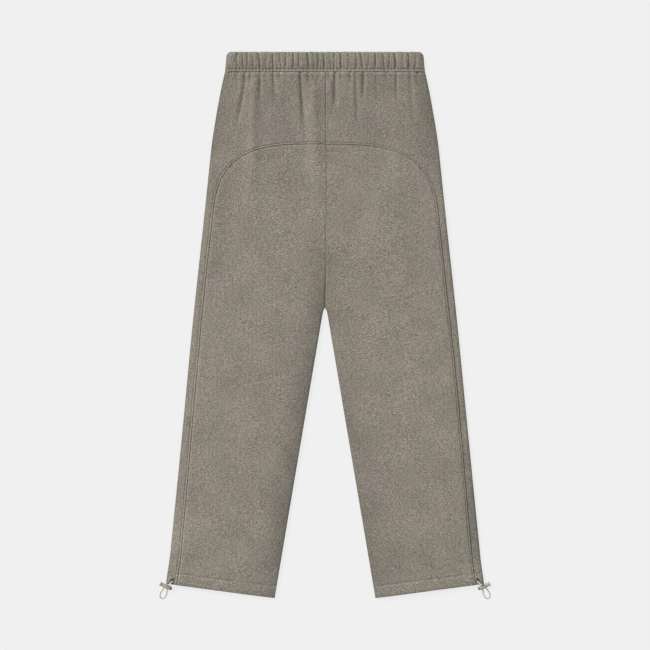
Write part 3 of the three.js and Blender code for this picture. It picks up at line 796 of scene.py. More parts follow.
YOKE_DEPTH = float(arch_down(0)) - YOKE_TOP
ARCH_STEPS = (0, 0.4, 0.8, 1.3, 2, 2.7, 3.2, 3.6, 3.9, 4.2, 4.6, 5.2, 6.2, 7.6)
YOKE_ROWS = graded(YOKE_DEPTH, (0, 0.5, 1.1, 1.9, 2.8, 4), ARCH_STEPS, 2.6) / YOKE_DEPTH
SEAM_STEPS = (0, 0.35, 0.7, 1.1, 1.7, 2.5, 3.1, 3.6, 4.1, 4.6, 5.1, 5.6, 6.2, 7.2)
HEM_STEPS = (0, 0.25, 0.6, 1.1, 1.8, 2.8, 3.9, 5.1, 6.3, 7.5, 8.7, 9.9, 11.1, 12.6, 14.4, 16.4, 18.2, 19.6)
HEM_STEPS += (20.4, 20.9, 21.3, 21.7, 22.1, 22.6, 23.3, 24.6, 26.6, 29)
# The eyelet's block of cells: its columns in a row, and its rows by their distance above the hem.
EYELET_COLUMNS = (10, 16)
EYELET_ROWS = (11.1, 3.9)
SIDE_STEPS = (0, 0.4, 0.8, 1.3, 2, 3, 4, 5.5, 7.5)
LEG_ROWS = CORNER_DOWN + graded(OUTER_HEM_DOWN - CORNER_DOWN, SIDE_STEPS, HEM_STEPS, 4.0)
LEG_STEPS = (0, 0.3, 0.6, 1, 1.5, 2.2, 3.2, 4.6, 6.5, 9)
LEG_SHARES = graded(CORNER_X, LEG_STEPS, SIDE_STEPS, 3.0)[None] / CORNER_X


def yoke_surface(side, settings):
    """Half the yoke over its two shares q across and r down.

    x goes from the edge share at the waist to the arch's corner, down from the waist to the arch,
    and the height is the back's lie plus the seam's ridge and the middle seam's dip.
    """
    q = graded(CORNER_X, (0, 0.3, 0.6, 1, 1.6, 2.6, 4), (0,), 1.6)[None] / CORNER_X
    r = YOKE_ROWS[:, None]
    x = mix(side * MIDDLE_SHIFT + SEAM_GAP / 2, mix(WAIST_HALF * YOKE_EDGE_SHARE, CORNER_X, r), q)
    down = mix(YOKE_TOP, arch_down(mix(side * MIDDLE_SHIFT, CORNER_X, q)) - SEAM_GAP * r, r)
    return skin_points(side, down, x, down, settings, seam_ridge)


def waist_shoulder(x, down):
    """Below the waist seam the cloth climbs out of the seam, higher between the gathers."""
    lumps = 0.35 * np.sin(2 * np.pi * x / 12.7 + 2.1 * np.sin(x / 29.0)) * bell((down - YOKE_TOP - 5) / 5)
    return 1.15 * bell((down - YOKE_TOP - 4.4) / 2.2) - 0.1 * bell((down - YOKE_TOP) / 1.5) + lumps


def skin_points(side, row, x, down, settings, seam_profile):
    """Points of the back's skin, with the relief of its seams added to its height."""
    row = np.broadcast_to(row, x.shape)
    height = back_height(side, row, x, down, settings.gather_depth)
    distance, along = from_seam(x, down)
    level = np.where(row < CROTCH_DOWN, down, row)
    height = height + seam_profile(side, distance, along) + middle_seam(side, x, level)
    height = height + waist_shoulder(x, down)
    return np.stack([*laid_out(side, x, down), height], axis=-1)


def outer_surface(side, settings):
    """The strip beside the back seam, the outer fold, the front and its inner edge, row by row.

    A row starts at the seam and goes outwards over the rounded edge, round a quarter ellipse under it,
    flat across the front and up another quarter ellipse at the inseam.
    """
    r = YOKE_ROWS
    beside_down = mix(YOKE_TOP, arch_down(CORNER_X) - SEAM_GAP * r, r)
    beside_x = mix(WAIST_HALF * YOKE_EDGE_SHARE, CORNER_X, r)
    below_x, below_down = side_point(LEG_ROWS[1:])
    row = np.r_[beside_down, LEG_ROWS[1:]][:, None]
    start_x = np.r_[beside_x, below_x + SEAM_GAP][:, None]
    start_down = np.r_[beside_down, below_down][:, None]
    x_out, x_in = outer_half(row), inner_half(inner_down(row))
    near = start_x + np.array(SEAM_STEPS)[None]
    far = x_out - (x_out - start_x - SEAM_STEPS[-1]) * (np.linspace(1, 0, 15)[None, 1:] ** 1.8)
    x = np.concatenate([near, far], axis=1)
    # The row's own slant, moved to start on the seam.
    shift = start_down - row_down(row, start_x)
    down = row_down(row, x) + shift * (1 - ease(0, 12, x - start_x))
    x, down = fit_eyelet(x, down)
    top = skin_points(side, row, x, down, settings, seam_ridge)
    angle = np.linspace(0, -np.pi / 2, 8)[None, 1:]
    under_x = x_out - UNDER_ROUND + UNDER_ROUND * np.cos(angle)
    under_z = FOLD_LEVEL + FOLD_LEVEL * np.sin(angle)
    bend = ease(468, CROTCH_FALL_ROWS[1], row)
    front_x = mix(x_out - UNDER_ROUND, x_in + UNDER_ROUND, np.linspace(0, 1, 26)[None, 1:])
    angle = np.linspace(np.pi / 2, 0, 8)[None, 1:]
    edge_x = x_in + UNDER_ROUND - UNDER_ROUND * np.cos(angle)
    edge_z = bend * (FOLD_LEVEL - SEAM_GAP / 2) * (1 - np.sin(angle))
    rest_x = np.concatenate([under_x, front_x, edge_x], axis=1)
    rest_z = np.concatenate([np.broadcast_to(under_z, under_x.shape), np.zeros_like(front_x), edge_z], axis=1)
    rest = np.stack([side * rest_x, TOP_EDGE - row_down(row, rest_x), rest_z], axis=-1)
    return np.concatenate([top, rest], axis=1)


def eyelet_block(rows):
    """Row and column bounds of the eyelet's block of cells in a grid of that many rows."""
    first, last = (rows - 1 - HEM_STEPS.index(above) for above in EYELET_ROWS)
    return first, last, *EYELET_COLUMNS


def fit_eyelet(x, down):
    """Moves the points round the eyelet's block of cells onto its circle.

    A point at (a, b) in the block's square goes to the circle's (a sqrt(1 - b^2/2), b sqrt(1 - a^2/2)).
    """
    x, down = x.copy(), down.copy()
    i0, i1, j0, j1 = eyelet_block(len(x))
    block = (slice(i0, i1 + 1), slice(j0, j1 + 1))
    u, v = x[block] - EYELET_X, down[block] - (TOP_EDGE - EYELET_Y)
    a = np.where(u < 0, u / -u[:, :1], u / u[:, -1:])
    b = np.where(v < 0, v / -v[:1], v / v[-1:])
    x[block] = EYELET_X + EYELET_RADIUS * a * np.sqrt(1 - b * b / 2)
    down[block] = TOP_EDGE - EYELET_Y + EYELET_RADIUS * b * np.sqrt(1 - a * a / 2)
    return x, down


def back_leg_surface(side, settings):
    """A back leg over its rows and its shares across, inside the arch, the side seam, the hem and the inseam.

    Near the top the rows follow the arch, and they straighten with the same cubic turn as the frame's.
    """
    row = LEG_ROWS[:, None]
    seam_x, seam_down = side_point(row)
    near_top = 1 - ease(CORNER_DOWN, CORNER_DOWN + 150, row)
    inner_row = row - (CORNER_DOWN - ARCH_DOWN) * near_top
    x_in = inner_half(inner_down(row))
    middle = side * MIDDLE_SHIFT * (1 - ease(440, CROTCH_DOWN, row))
    x = mix(x_in + middle, seam_x, LEG_SHARES)
    bow = arch_down(LEG_SHARES * CORNER_X) - mix(ARCH_DOWN, CORNER_DOWN, LEG_SHARES)
    down = mix(inner_down(inner_row), seam_down, LEG_SHARES) + bow * near_top
    return skin_points(side, row, x, down, settings, seam_shoulder)


def join_grids(grids, flip, hole=None):
    """Points and faces of several grids, turned over for a mirrored side. The last may have a hole."""
    points, faces, first = [], [], 0
    for grid in grids:
        rows, columns = grid.shape[:2]
        points.append(grid.reshape(-1, 3))
        cells = grid_faces(rows, columns, first).reshape(rows - 1, columns - 1, 4)
        keep = np.ones((rows - 1, columns - 1), bool)
        if hole and grid is grids[-1]:
            i0, i1, j0, j1 = hole
            keep[i0:i1, j0:j1] = False
        faces.append(cells[keep])
        first += rows * columns
    faces = np.concatenate(faces)
    return np.concatenate(points), faces[:, ::-1] if flip else faces


def hem_group(piece, wall, hem_wall):
    """Weights for the wall's thickness: the single wall over the hem's, and 1 below the hem line."""
    x, y, _ = vertex_places(piece.data)
    down = TOP_EDGE - y
    x_in = inner_half(LENGTH)
    x_out = float(outer_half(OUTER_HEM_DOWN))
    share = np.clip((np.abs(x) - x_in) / (x_out - x_in), 0, 1)
    above = mix(LENGTH, OUTER_HEM_DOWN, share) - down
    group = piece.vertex_groups.new(name="wall")
    for members, weight in ((above > HEM_HEIGHT, wall / hem_wall), (above <= HEM_HEIGHT, 1.0)):
        group.add(np.flatnonzero(members).tolist(), weight, "REPLACE")


# Lines across the waist that catch the light: down, half length, and the share lighter.
WAIST_LIGHTS = ((33, 1.0, 0.1), (36.3, 1.2, 0.14), (WAIST_SEAM_DOWN, 0.9, 0.2), (42.5, 1.8, 0.1))
# Broad patches of painted shade and painted light: x, down, half width, half length, and the share darker.
PAINTED_SHADE_PATCHES = (
    (-30, 200, 13, 34, -0.09),
    (-140, 203, 14, 20, -0.09),
    (-85, 150, 28, 18, 0.05),
    (-66, 352, 18, 20, 0.06),
    (9, 508, 12, 16, 0.09),
    (-116, 690, 26, 20, 0.06),
    (-262, 900, 18, 60, -0.07),
    (-142, 925, 15, 16, 0.13),
    (-192, 992, 26, 18, 0.09),
    (86, 945, 14, 26, 0.11),
    (162, 968, 26, 16, -0.06),
)


def from_hem(x, down):
    """How far a point is above the hem's lower edge."""
    inner, outer = inner_half(down), outer_half(down)
    share = np.clip((np.abs(x) - inner) / (outer - inner), 0, 1)
    return np.clip(mix(LENGTH, OUTER_HEM_DOWN, share) - down, 0, None)


def paint_shade_and_hue(piece):
    """Attributes "shade" and "cool": painted shade and painted highlights, and how green the nap reads, at
    each point.

    The shade is 1 less a share that falls off as a Gaussian of the distance from each inseam and folded
    edge, and less small slow falls over the seat and across the legs. It is painted shade where the cloth
    rounds away from the light, over the seat and in the eyelet's hole, a painted fall of light across the
    left leg, and painted highlights beside the left seam and along the waist's lines. The cool share grows
    towards the hems, the inseams and the outer folds, where the nap lies flatter.
    """
    x, y, z = vertex_places(piece.data)
    down = TOP_EDGE - y
    left = x < 0
    from_inner = np.clip(np.abs(x) - inner_half(down), 0, None)
    from_outer = np.clip(outer_half(down) - np.abs(x), 0, None)

    def each(on_left, on_right):
        return np.where(left, on_left, on_right)

    # Painted shade: darker towards the inseams, the folded edges and the hem's edge, where the cloth rounds
    # away from the light, and over the yoke's edges, the left hip, the crotch, the seat and the calves. The
    # left leg's outer strip low down is painted lighter.
    inseam = each(0.15, 0.13) * bell(from_inner / each(32, 48)) * ease(330, 520, down)
    inseam += each(0.03, 0.05) * bell(from_inner / 22) * ease(600, 700, down)
    inseam += each(0, 0.2) * bell(from_inner / 2.4) * ease(490, 500, down)
    yoke = ease(20, 45, down) - ease(180, 330, down)
    fold = each(0.13, 0.14) * yoke * bell(from_outer / each(24, 32))
    hip = 0.085 * bell((from_outer - 38) / 18) * (ease(220, 270, down) - ease(400, 450, down)) * left
    crotch = 0.09 * bell(x / 30) * (ease(330, 390, down) - ease(480, 510, down))
    leg = each(0.36, 0.02) * bell(from_outer / each(3.2, 22))
    strip = (1 - ease(12, 18, from_outer)) * (ease(750, 840, down) - ease(960, 1000, down))
    strips = each(-0.05, 0.13) * strip
    hem = 0.1 * bell(from_hem(x, down) / 1.6)
    # Painted fall of light: the left leg is painted lighter towards its outside, down the legs.
    across = each(0.02, 0) * np.clip(x / 200, -1, 1) * ease(150, 800, down)
    seat = 0.085 * ease(30, 45, down) * (1 - ease(130, 230, down))
    calf = 0.05 * bell((down - 860) / 45) + each(0, 0.06) * bell((down - 680) / 60) * bell(from_inner / 25)
    # Painted highlight on the leg's side of the left seam, below the hip.
    beside = side_seam(down) - np.abs(x)
    crest = -0.08 * bell((beside - 2) / 1.8) * (beside > 0) * ease(520, 620, down) * left
    # Painted shade inside the eyelet's hole, on the layer below it.
    eyelet = np.hypot(np.abs(x) - EYELET_X, y - EYELET_Y)
    depth = 0.75 * bell(eyelet / 3) * (z > 1) * (z < 4.5)
    shade = 1 - inseam - fold - hip - crotch - leg - strips - hem - across - seat - calf - crest - depth
    for level, half_length, lighter in WAIST_LIGHTS:
        shade += lighter * bell((down - level) / half_length)
    # Painted shade and painted light in broad patches.
    for at, level, half_width, half_length, darker in PAINTED_SHADE_PATCHES:
        shade -= darker * bell((x - at) / half_width) * bell((down - level) / half_length)
    cool = 0.4 * ease(860, 1010, down) + each(0, 0.9) * strip + each(0, 0.4) * bell(from_outer / 20) * yoke
    cool += each(0.9, 0.15) * bell(from_inner / 15) * ease(480, 520, down)
    cool += each(0.15, 0.45) * (1 - ease(14, 30, from_outer)) * ease(400, 500, down)
    paint_points(piece.data, "shade", shade)
    paint_points(piece.data, "cool", np.clip(cool, 0, 1))


def cloth_piece(name, grids, flip, settings, material, hole=None):
    """A walled piece of cloth from its skin's grids."""
    points, faces = join_grids(grids, flip, hole)
    piece = put_object(name, points, faces, material, weld=0.02)
    hem_group(piece, settings.wall, 2 * settings.wall)
    thicken(piece, 2 * settings.wall)
    piece.modifiers["wall"].vertex_group = "wall"
    bake_modifiers(piece)
    # Painted shade and painted highlights, and the greener cast, on the piece's points.
    paint_shade_and_hue(piece)
    return piece


def cut_with(piece, cutter):
    """Cuts one solid out of a piece, bakes the cut and removes the cutter."""
    cut = piece.modifiers.new("cut", "BOOLEAN")
    cut.object = cutter
    cut.operation = "DIFFERENCE"
    cut.solver = "EXACT"
    bake_modifiers(piece)
    mesh = cutter.data
    bpy.data.objects.remove(cutter)
    bpy.data.meshes.remove(mesh)


def prism(name, outline, low, high, material):
    """A straight solid on a closed outline of points, from a low to a high offset."""
    count = len(outline)
    points = np.concatenate([outline + low, outline + high])
    ring = np.arange(count)
    side = np.stack([ring, np.roll(ring, -1), np.roll(ring, -1) + count, ring + count], axis=-1)
    faces = side.tolist() + [ring[::-1].tolist(), (ring + count).tolist()]
    return put_object(name, points, faces, material)


def band_profile():
    """The casing's profile: places down the outer skin from the seam to the top, and back down inside.

    Each part is the places with a 0 for each on the outer skin and a 1 for each on the inner one.
    """
    stitched = (37.9, 37.5, 37, 36.4, 35.7, 35, 34.3, 33.7, 33.2, 32.8, 32.4, 31.8, 31, 29.8, 28.2)
    outside = np.r_[WAIST_SEAM_DOWN, stitched, np.linspace(26.4, 8, 10), 6, 4.4, 3, 1.9, 1.1, 0.5, 0.15, 0]
    inside = np.r_[0.15, 0.5, 1.1, 3, 9, 18, 28, WAIST_SEAM_DOWN]
    return np.r_[outside, inside], np.r_[np.zeros(len(outside)), np.ones(len(inside))]


def band_pucker(x, down, settings):
    """Depth of the casing's puckers, held shallow below the stitching.

    The main ones are Lorentz-shaped grooves about leaning lines, over the whole height. Between them are 70
    seeded short wrinkles, each a Gaussian across times a Gaussian along.
    """
    gathered = np.zeros(np.broadcast(x, down).shape)
    for at, depth, lean in PUCKERS:
        line = at + 0.8 + lean * (2 * down / WAIST_SEAM_DOWN - 1)
        gathered += depth / (1 + ((x - line) / 1.35) ** 2)
    rng = np.random.default_rng(11)
    for _ in range(70):
        at, lean, middle, half = rng.uniform((-180, -2.5, 2, 5), (180, 2.5, 30, 14))
        line = at + lean * (down - middle) / 10
        gathered += rng.uniform(0.15, 0.5) * bell((x - line) / 1.3) * bell((down - middle) / half)
    hold = 0.2 + 0.8 * ease(BAND_STITCH_DOWN + 1, BAND_STITCH_DOWN - 6, down)
    return gathered * hold * settings.pucker_depth


def band_relief(x, down, settings):
    """Relief of the band's back: a puff less its puckers, a stitched groove, and a ridge over the seam."""
    puff = BAND_PUFF * np.sin(np.pi * np.clip(down / BAND_STITCH_DOWN, 0, 1)) ** 0.8
    crossing = 0.42 * np.sin(2 * np.pi * x / 6.7 + 1.7 * np.sin(x / 23.0)) * ease(20, 31, down)
    groove = 0.95 * bell((down - BAND_STITCH_DOWN) / 1.2)
    ridge = 1.2 * bell((down - BAND_CREST_DOWN) / 1.6)
    end = 0.4 * ease(36.9, WAIST_SEAM_DOWN + 0.3, down) + 1.0 * (1 - quarter(down, 8))
    return puff - band_pucker(x, down, settings) * ease(-1.5, 3, down) + crossing - groove + ridge - end


def band_surface(settings):
    """The waistband's casing: its profile carried round the flattened waist.

    Over the back the skin is the band's lie plus its relief, rounded down to the sides by a quarter
    ellipse. Under the sides it turns by another quarter ellipse, and the front lies flat.
    """
    down, inner = (part[None] for part in band_profile())
    wall = BAND_WALL * inner
    half = outer_half(down)
    rounded = 0.5 * BAND_WALL * (1 - quarter(down, 2.2)) * (1 - 2 * inner)
    middle = BAND_LIE / 2
    edge = 1 - (BAND_ROUND / WAIST_HALF) * np.linspace(1, 0, 13)[1:] ** 1.8
    share = np.r_[-edge[::-1], np.linspace(-1, 1, 430) * (1 - BAND_ROUND / WAIST_HALF), edge][:, None]
    x = share * (half - wall)
    top = BAND_LIE + band_relief(x, down, settings) * (1 - inner) - wall - rounded
    back = mix(middle, top, quarter(half - wall - np.abs(x), BAND_ROUND - wall))
    angle = np.linspace(0, -np.pi / 2, 9)[1:, None]
    floor = wall + rounded
    side_x = half - UNDER_ROUND + (UNDER_ROUND - wall) * np.cos(angle)
    side_z = middle + (middle - floor) * np.sin(angle)
    front_x = (half - UNDER_ROUND) * np.linspace(1, -1, 50)[1:-1, None]
    front_z = np.broadcast_to(floor, front_x.shape)
    all_x = np.concatenate([x, side_x, front_x, -side_x[::-1]])
    all_z = np.concatenate([back, side_z, front_z, side_z[::-1]])
    notch = 0.35 * band_pucker(all_x, 0 * down, settings) * ease(5, 0, down)
    notch[len(x) :] = 0
    rise = BAND_RISE * ease(25, 0, down)
    return np.stack([all_x, TOP_EDGE - down + rise - notch, all_z], axis=-1)


def ring_faces(rows, columns):
    """Quads of a grid that closes on itself both ways."""
    i, j = np.meshgrid(np.arange(rows), np.arange(columns), indexing="ij")
    next_i, next_j = (i + 1) % rows, (j + 1) % columns
    quads = [i * columns + j, i * columns + next_j, next_i * columns + next_j, next_i * columns + j]
    return np.stack(quads, axis=-1).reshape(-1, 4)


# Stitching


def surface_height(piece, places, high=40.0):
    """Heights of a piece's top side at the given places (x, y)."""
    depsgraph = bpy.context.evaluated_depsgraph_get()
    seen = piece.evaluated_get(depsgraph)
    down = Vector((0, 0, -1))
    heights = []
    for x, y in places:
        hit, point, _, _ = seen.ray_cast(Vector((x, y, high)) * MM, down)
        heights.append(point.z / MM if hit else np.nan)
    return np.array(heights)


def stitch_row(line, pitch, length, radius, sink):
    """Beads along a line: each is a capsule of five rings about the line's direction, sunk at its ends."""
    line = evenly(line, pitch)
    centres, ahead = (line[1:] + line[:-1]) / 2, line[1:] - line[:-1]
    ahead /= np.linalg.norm(ahead, axis=1, keepdims=True)
    across = np.cross(ahead, (0, 0, 1.0))
    across /= np.linalg.norm(across, axis=1, keepdims=True)
    up = np.cross(across, ahead)
    at = np.array([-1, -0.6, 0, 0.6, 1]) * length / 2
    size = np.array([0.25, 0.85, 1, 0.85, 0.25]) * radius
    dip = np.array([-1, -0.35, 0, -0.35, -1]) * sink
    angle = np.linspace(0, 2 * np.pi, 6, endpoint=False)
    spine = centres[:, None] + at[None, :, None] * ahead[:, None] + dip[None, :, None] * up[:, None]
    ring = np.cos(angle)[:, None] * across[:, None, None] + np.sin(angle)[:, None] * up[:, None, None]
    points = spine[:, :, None] + size[None, :, None, None] * ring
    count = len(centres)
    one = closed_faces(5, 6)
    faces = (one[None] + 30 * np.arange(count)[:, None, None]).reshape(-1, 4).tolist()
    caps = [[30 * i + k for k in range(6)] for i in range(count)]
    caps += [[30 * i + 29 - k for k in range(6)] for i in range(count)]
    return points.reshape(-1, 3), faces + caps


def stitched_piece(name, rows, material):
    """One mesh of several rows of stitches."""
    points, faces, first = [], [], 0
    for part_points, part_faces in rows:
        points.append(part_points)
        faces += [[first + index for index in face] for face in part_faces]
        first += len(part_points)
    return put_object(name, np.concatenate(points), faces, material)


def line_on(carriers, line_xy, lift):
    """A line laid on top of one or more pieces, at the height of the highest of them."""
    height = np.fmax.reduce([surface_height(piece, line_xy) for piece in carriers])
    known = np.isfinite(height)
    height = np.interp(np.arange(len(height)), np.flatnonzero(known), height[known])
    return np.column_stack([line_xy, height + lift])


def eyelet_binding(name, side, carrier, material):
    """Thread wound round the eyelet's edge: a ring whose tube swells once for each of its turns.

    The ring's middle has the radius EYELET_RADIUS plus half its width, and lies on the cloth all round.
    """
    width = BINDING_WIDTH
    around = np.linspace(0, 2 * np.pi, BINDING_TURNS * 5, endpoint=False)
    section = np.linspace(0, 2 * np.pi, 8, endpoint=False)
    out = np.column_stack([side * np.cos(around), np.sin(around)])
    centre = np.array([side * EYELET_X, EYELET_Y])
    bed = surface_height(carrier, centre + (EYELET_RADIUS + width) * out)
    bed = (bed + np.roll(bed, 3) + np.roll(bed, -3)) / 3
    swell = (0.82 + 0.18 * np.abs(np.cos(BINDING_TURNS * around / 2)))[:, None]
    radius = EYELET_RADIUS + width / 2 + (width / 2) * swell * np.cos(section)[None]
    height = bed[:, None] - 0.1 + BINDING_THICK * swell * np.sin(section)[None]
    points = np.concatenate([centre + radius[..., None] * out[:, None], height[..., None]], axis=-1)
    made = put_object(name, points.reshape(-1, 3), ring_faces(len(around), len(section)), material)
    set_normals_outwards(made)
    return made


# Cord and lock


def lock_frame(side):
    """Directions along the barrel, outwards and along the cord hole, and the barrel's middle."""
    along = np.array([side * math.cos(LOCK_TURN), math.sin(LOCK_TURN), 0])
    outwards = np.array([side * math.sin(LOCK_TURN), -math.cos(LOCK_TURN), 0])
    hole = outwards * math.cos(LOCK_TILT) + np.array([0, 0, -math.sin(LOCK_TILT)])
    return along, outwards, hole, np.array([side * LOCK_X, LOCK_Y, LOCK_RADIUS])


def cord_route(side):
    """The cord's points: out of the eyelet, over the hem, through the lock, round the loop and back."""
    along, outwards, hole, centre = lock_frame(side)
    eyelet = np.array([side * EYELET_X, EYELET_Y, 0])
    mouth = centre - hole * (LOCK_RADIUS + 0.8)
    way_out = centre + hole * (LOCK_RADIUS - 1.5)

    flat, up = np.array([1, 1, 0]), np.array([0, 0, 1])

    def strand(sign):
        beside = along * sign
        over = [mix(eyelet, mouth * flat, gone) + beside * STRAND_OFFSET + up * z for gone, z in HEM_ROUTE]
        apart = zip((mouth, centre, way_out), STRANDS_APART)
        return over + [point + beside * offset for point, offset in apart]

    loop = [(centre + along * across + outwards * out) * flat + up * z for across, out, z in LOOP_ROUTE]
    return np.array(strand(1) + loop + strand(-1)[::-1])


def cord_piece(name, side, settings, material):
    """A braided cord: rings about the route, with a map in millimetres along the cord and round it."""
    line = evenly(smooth_line(cord_route(side), 900), CORD_STEP)
    radius = settings.cord_diameter * 1000 / 2
    points = tube_points(line, radius, CORD_SIDES)
    made = put_object(name, points.reshape(-1, 3), capped_faces(len(line), CORD_SIDES), material)
    layer = made.data.uv_layers.new(name="along")
    corner = np.empty(len(made.data.loops), int)
    made.data.loops.foreach_get("vertex_index", corner)
    ring, spoke = np.divmod(corner, CORD_SIDES)
    uv = np.column_stack([ring * CORD_STEP, spoke * (2 * np.pi * radius / CORD_SIDES)])
    layer.data.foreach_set("uv", uv.ravel())
    # Over the hem one strand lies in the other's shade and the other catches the light.
    place = np.arange(len(line)) * CORD_STEP
    first, last = 1 - ease(12, 15, place), 1 - ease(12, 15, place[-1] - place)
    paint_points(made.data, "light", np.repeat(1 - 0.72 * first + 0.65 * last, CORD_SIDES))
    return made, line


# The lock's profiles: place along the barrel and radius. The button is a stem with a wider, rounded head.
HOUSING_PROFILE = (
    (-11.2, 0),
    (-11.2, 2.3),
    (-10.7, 2.8),
    (-8.6, 2.8),
    (-8.3, 3.6),
    (-7.6, 4),
    (5.7, 4),
    (6.5, 3.6),
    (6.5, 3.5),
    (-7.6, 3.5),
    (-7.6, 0),
)
BUTTON_PROFILE = ((-4.3, 0), (-4.3, 3.35), (9.6, 3.35), (9.8, 3.8), (13, 3.8), (13.6, 3.2), (13.7, 0))


def lathe_piece(name, profile, side, material, tail):
    """A turned solid: the profile's radius carried round the barrel's axis, then set in the lock's place.

    Faces further than LOCK_TAIL_FROM towards the barrel's closed end take the tail's material.
    """
    along, outwards, _, centre = lock_frame(side)
    x, r = np.array(profile[1:-1]).T
    angle = np.linspace(0, 2 * np.pi, LATHE_SIDES, endpoint=False)
    up = np.array([0, 0, 1.0])
    ring = np.cos(angle)[:, None] * outwards + np.sin(angle)[:, None] * up
    points = (centre + x[:, None, None] * along + r[:, None, None] * ring[None]).reshape(-1, 3)
    faces = capped_faces(len(x), LATHE_SIDES)
    piece = put_object(name, points, faces, material)
    piece.data.materials.append(tail)
    middles = np.array([np.mean(points[face], axis=0) for face in faces])
    beyond = (middles - centre) @ along < -LOCK_TAIL_FROM
    piece.data.polygons.foreach_set("material_index", beyond.astype(np.int32))
    return piece


def slot_cutter(side, low, high, material):
    """A stadium-shaped prism along the cord hole."""
    along, _, hole, centre = lock_frame(side)
    across = np.cross(hole, along)
    r = LOCK_SLOT_HALF_HEIGHT
    left = np.linspace(np.pi / 2, 1.5 * np.pi, 12)
    right = np.linspace(-np.pi / 2, np.pi / 2, 12)
    x = np.r_[low + r + r * np.cos(left), high - r + r * np.cos(right)]
    y = np.r_[r * np.sin(left), r * np.sin(right)]
    outline = centre + x[:, None] * along + y[:, None] * across
    reach = hole * (LOCK_RADIUS + 2)
    return prism("cutter", outline, -reach, reach, material)


def set_normals_outwards(piece):
    """Turns every face of a closed mesh outwards."""
    shape = bmesh.new()
    shape.from_mesh(piece.data)
    bmesh.ops.recalc_face_normals(shape, faces=shape.faces)
    shape.to_mesh(piece.data)
    shape.free()


def soften_edges(piece, width, degrees):
    """Rounds a piece's sharp edges and shades the rest smooth."""
    bevel = piece.modifiers.new("soft_edges", "BEVEL")
    bevel.width = width * MM
    bevel.segments = 2
    bevel.limit_method = "ANGLE"
    bevel.angle_limit = math.radians(degrees)
    bevel.use_clamp_overlap = True
    bake_modifiers(piece)
    piece.data.shade_smooth()
    piece.data.set_sharp_from_angle(angle=math.radians(50))


# Settings


class ClothSettings(bpy.types.PropertyGroup):
    """Cloth of the sweatpants."""

    fleece_colour: bpy.props.StringProperty(
        name="Fleece Colour", description="sRGB hex colour of the fleece", default="867f75"
    )
    thread_colour: bpy.props.StringProperty(
        name="Thread Colour", description="sRGB hex colour of the sewing thread", default="7d766a"
    )
    binding_colour: bpy.props.StringProperty(
        name="Eyelet Colour", description="sRGB hex colour of the eyelets' thread", default="575248"
    )
    wall: bpy.props.FloatProperty(name="Cloth Thickness", description="One layer, in mm", default=2.0)
    gather_depth: bpy.props.FloatProperty(
        name="Gather Depth", description="Scales the folds under the waistband", default=1.0, min=0
    )
    pucker_depth: bpy.props.FloatProperty(
        name="Pucker Depth", description="Scales the puckers of the waistband", default=1.9, min=0
    )
    nap: bpy.props.FloatProperty(name="Nap", description="Relief of the cloth's face, in mm", default=0.45)
    fleck_contrast: bpy.props.FloatProperty(
        name="Fleck Contrast", description="How far the yarns differ in brightness", default=0.49, min=0, max=1
    )
    stitch_pitch: bpy.props.FloatProperty(
        name="Stitch Pitch", description="Distance between two stitches, in millimetres", default=3.4
    )


class CordSettings(bpy.types.PropertyGroup):
    """Cords and locks at the hems."""

    cord_diameter: bpy.props.FloatProperty(
        name="Cord Diameter",
        description="Thickness of the elastic cord",
        default=0.002,
        unit="LENGTH",
        precision=4,
    )
    cord_colour: bpy.props.StringProperty(
        name="Cord Colour", description="sRGB hex colour of the cord", default="aba89d"
    )
    lock_colour: bpy.props.StringProperty(
        name="Lock Colour", description="sRGB hex colour of the cord lock", default="9c9886"
    )
    tail_end_colour: bpy.props.StringProperty(
        name="Tail End Colour", description="sRGB hex colour of the lock's darker tail end", default="59564a"
    )


class StageSettings(bpy.types.PropertyGroup):
    """Camera, lights and floor."""

    camera_distance: bpy.props.FloatProperty(
        name="Camera Distance", description="Height over the garment", default=2.922, unit="LENGTH"
    )
    lens: bpy.props.FloatProperty(name="Lens", description="Focal length in millimetres", default=85.0)
    key_strength: bpy.props.FloatProperty(
        name="Key Strength", description="Strength of the key light", default=3.33
    )
    fill_strength: bpy.props.FloatProperty(
        name="Fill Strength", description="Light from all round", default=0.47
    )
    floor_colour: bpy.props.StringProperty(
        name="Floor Colour", description="sRGB hex colour of the floor", default="505050"
    )
    floor_glow: bpy.props.FloatProperty(
        name="Floor Glow", description="Light that evens out the floor's shadows", default=0.784, min=0
    )


# Operators


def declare(piece, *nodes, slot="fleece"):
    """Rides a piece on the garment and says which nodes it stands for. Its slot is not used."""
    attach(piece, "root")
    if nodes:
        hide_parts(*nodes)


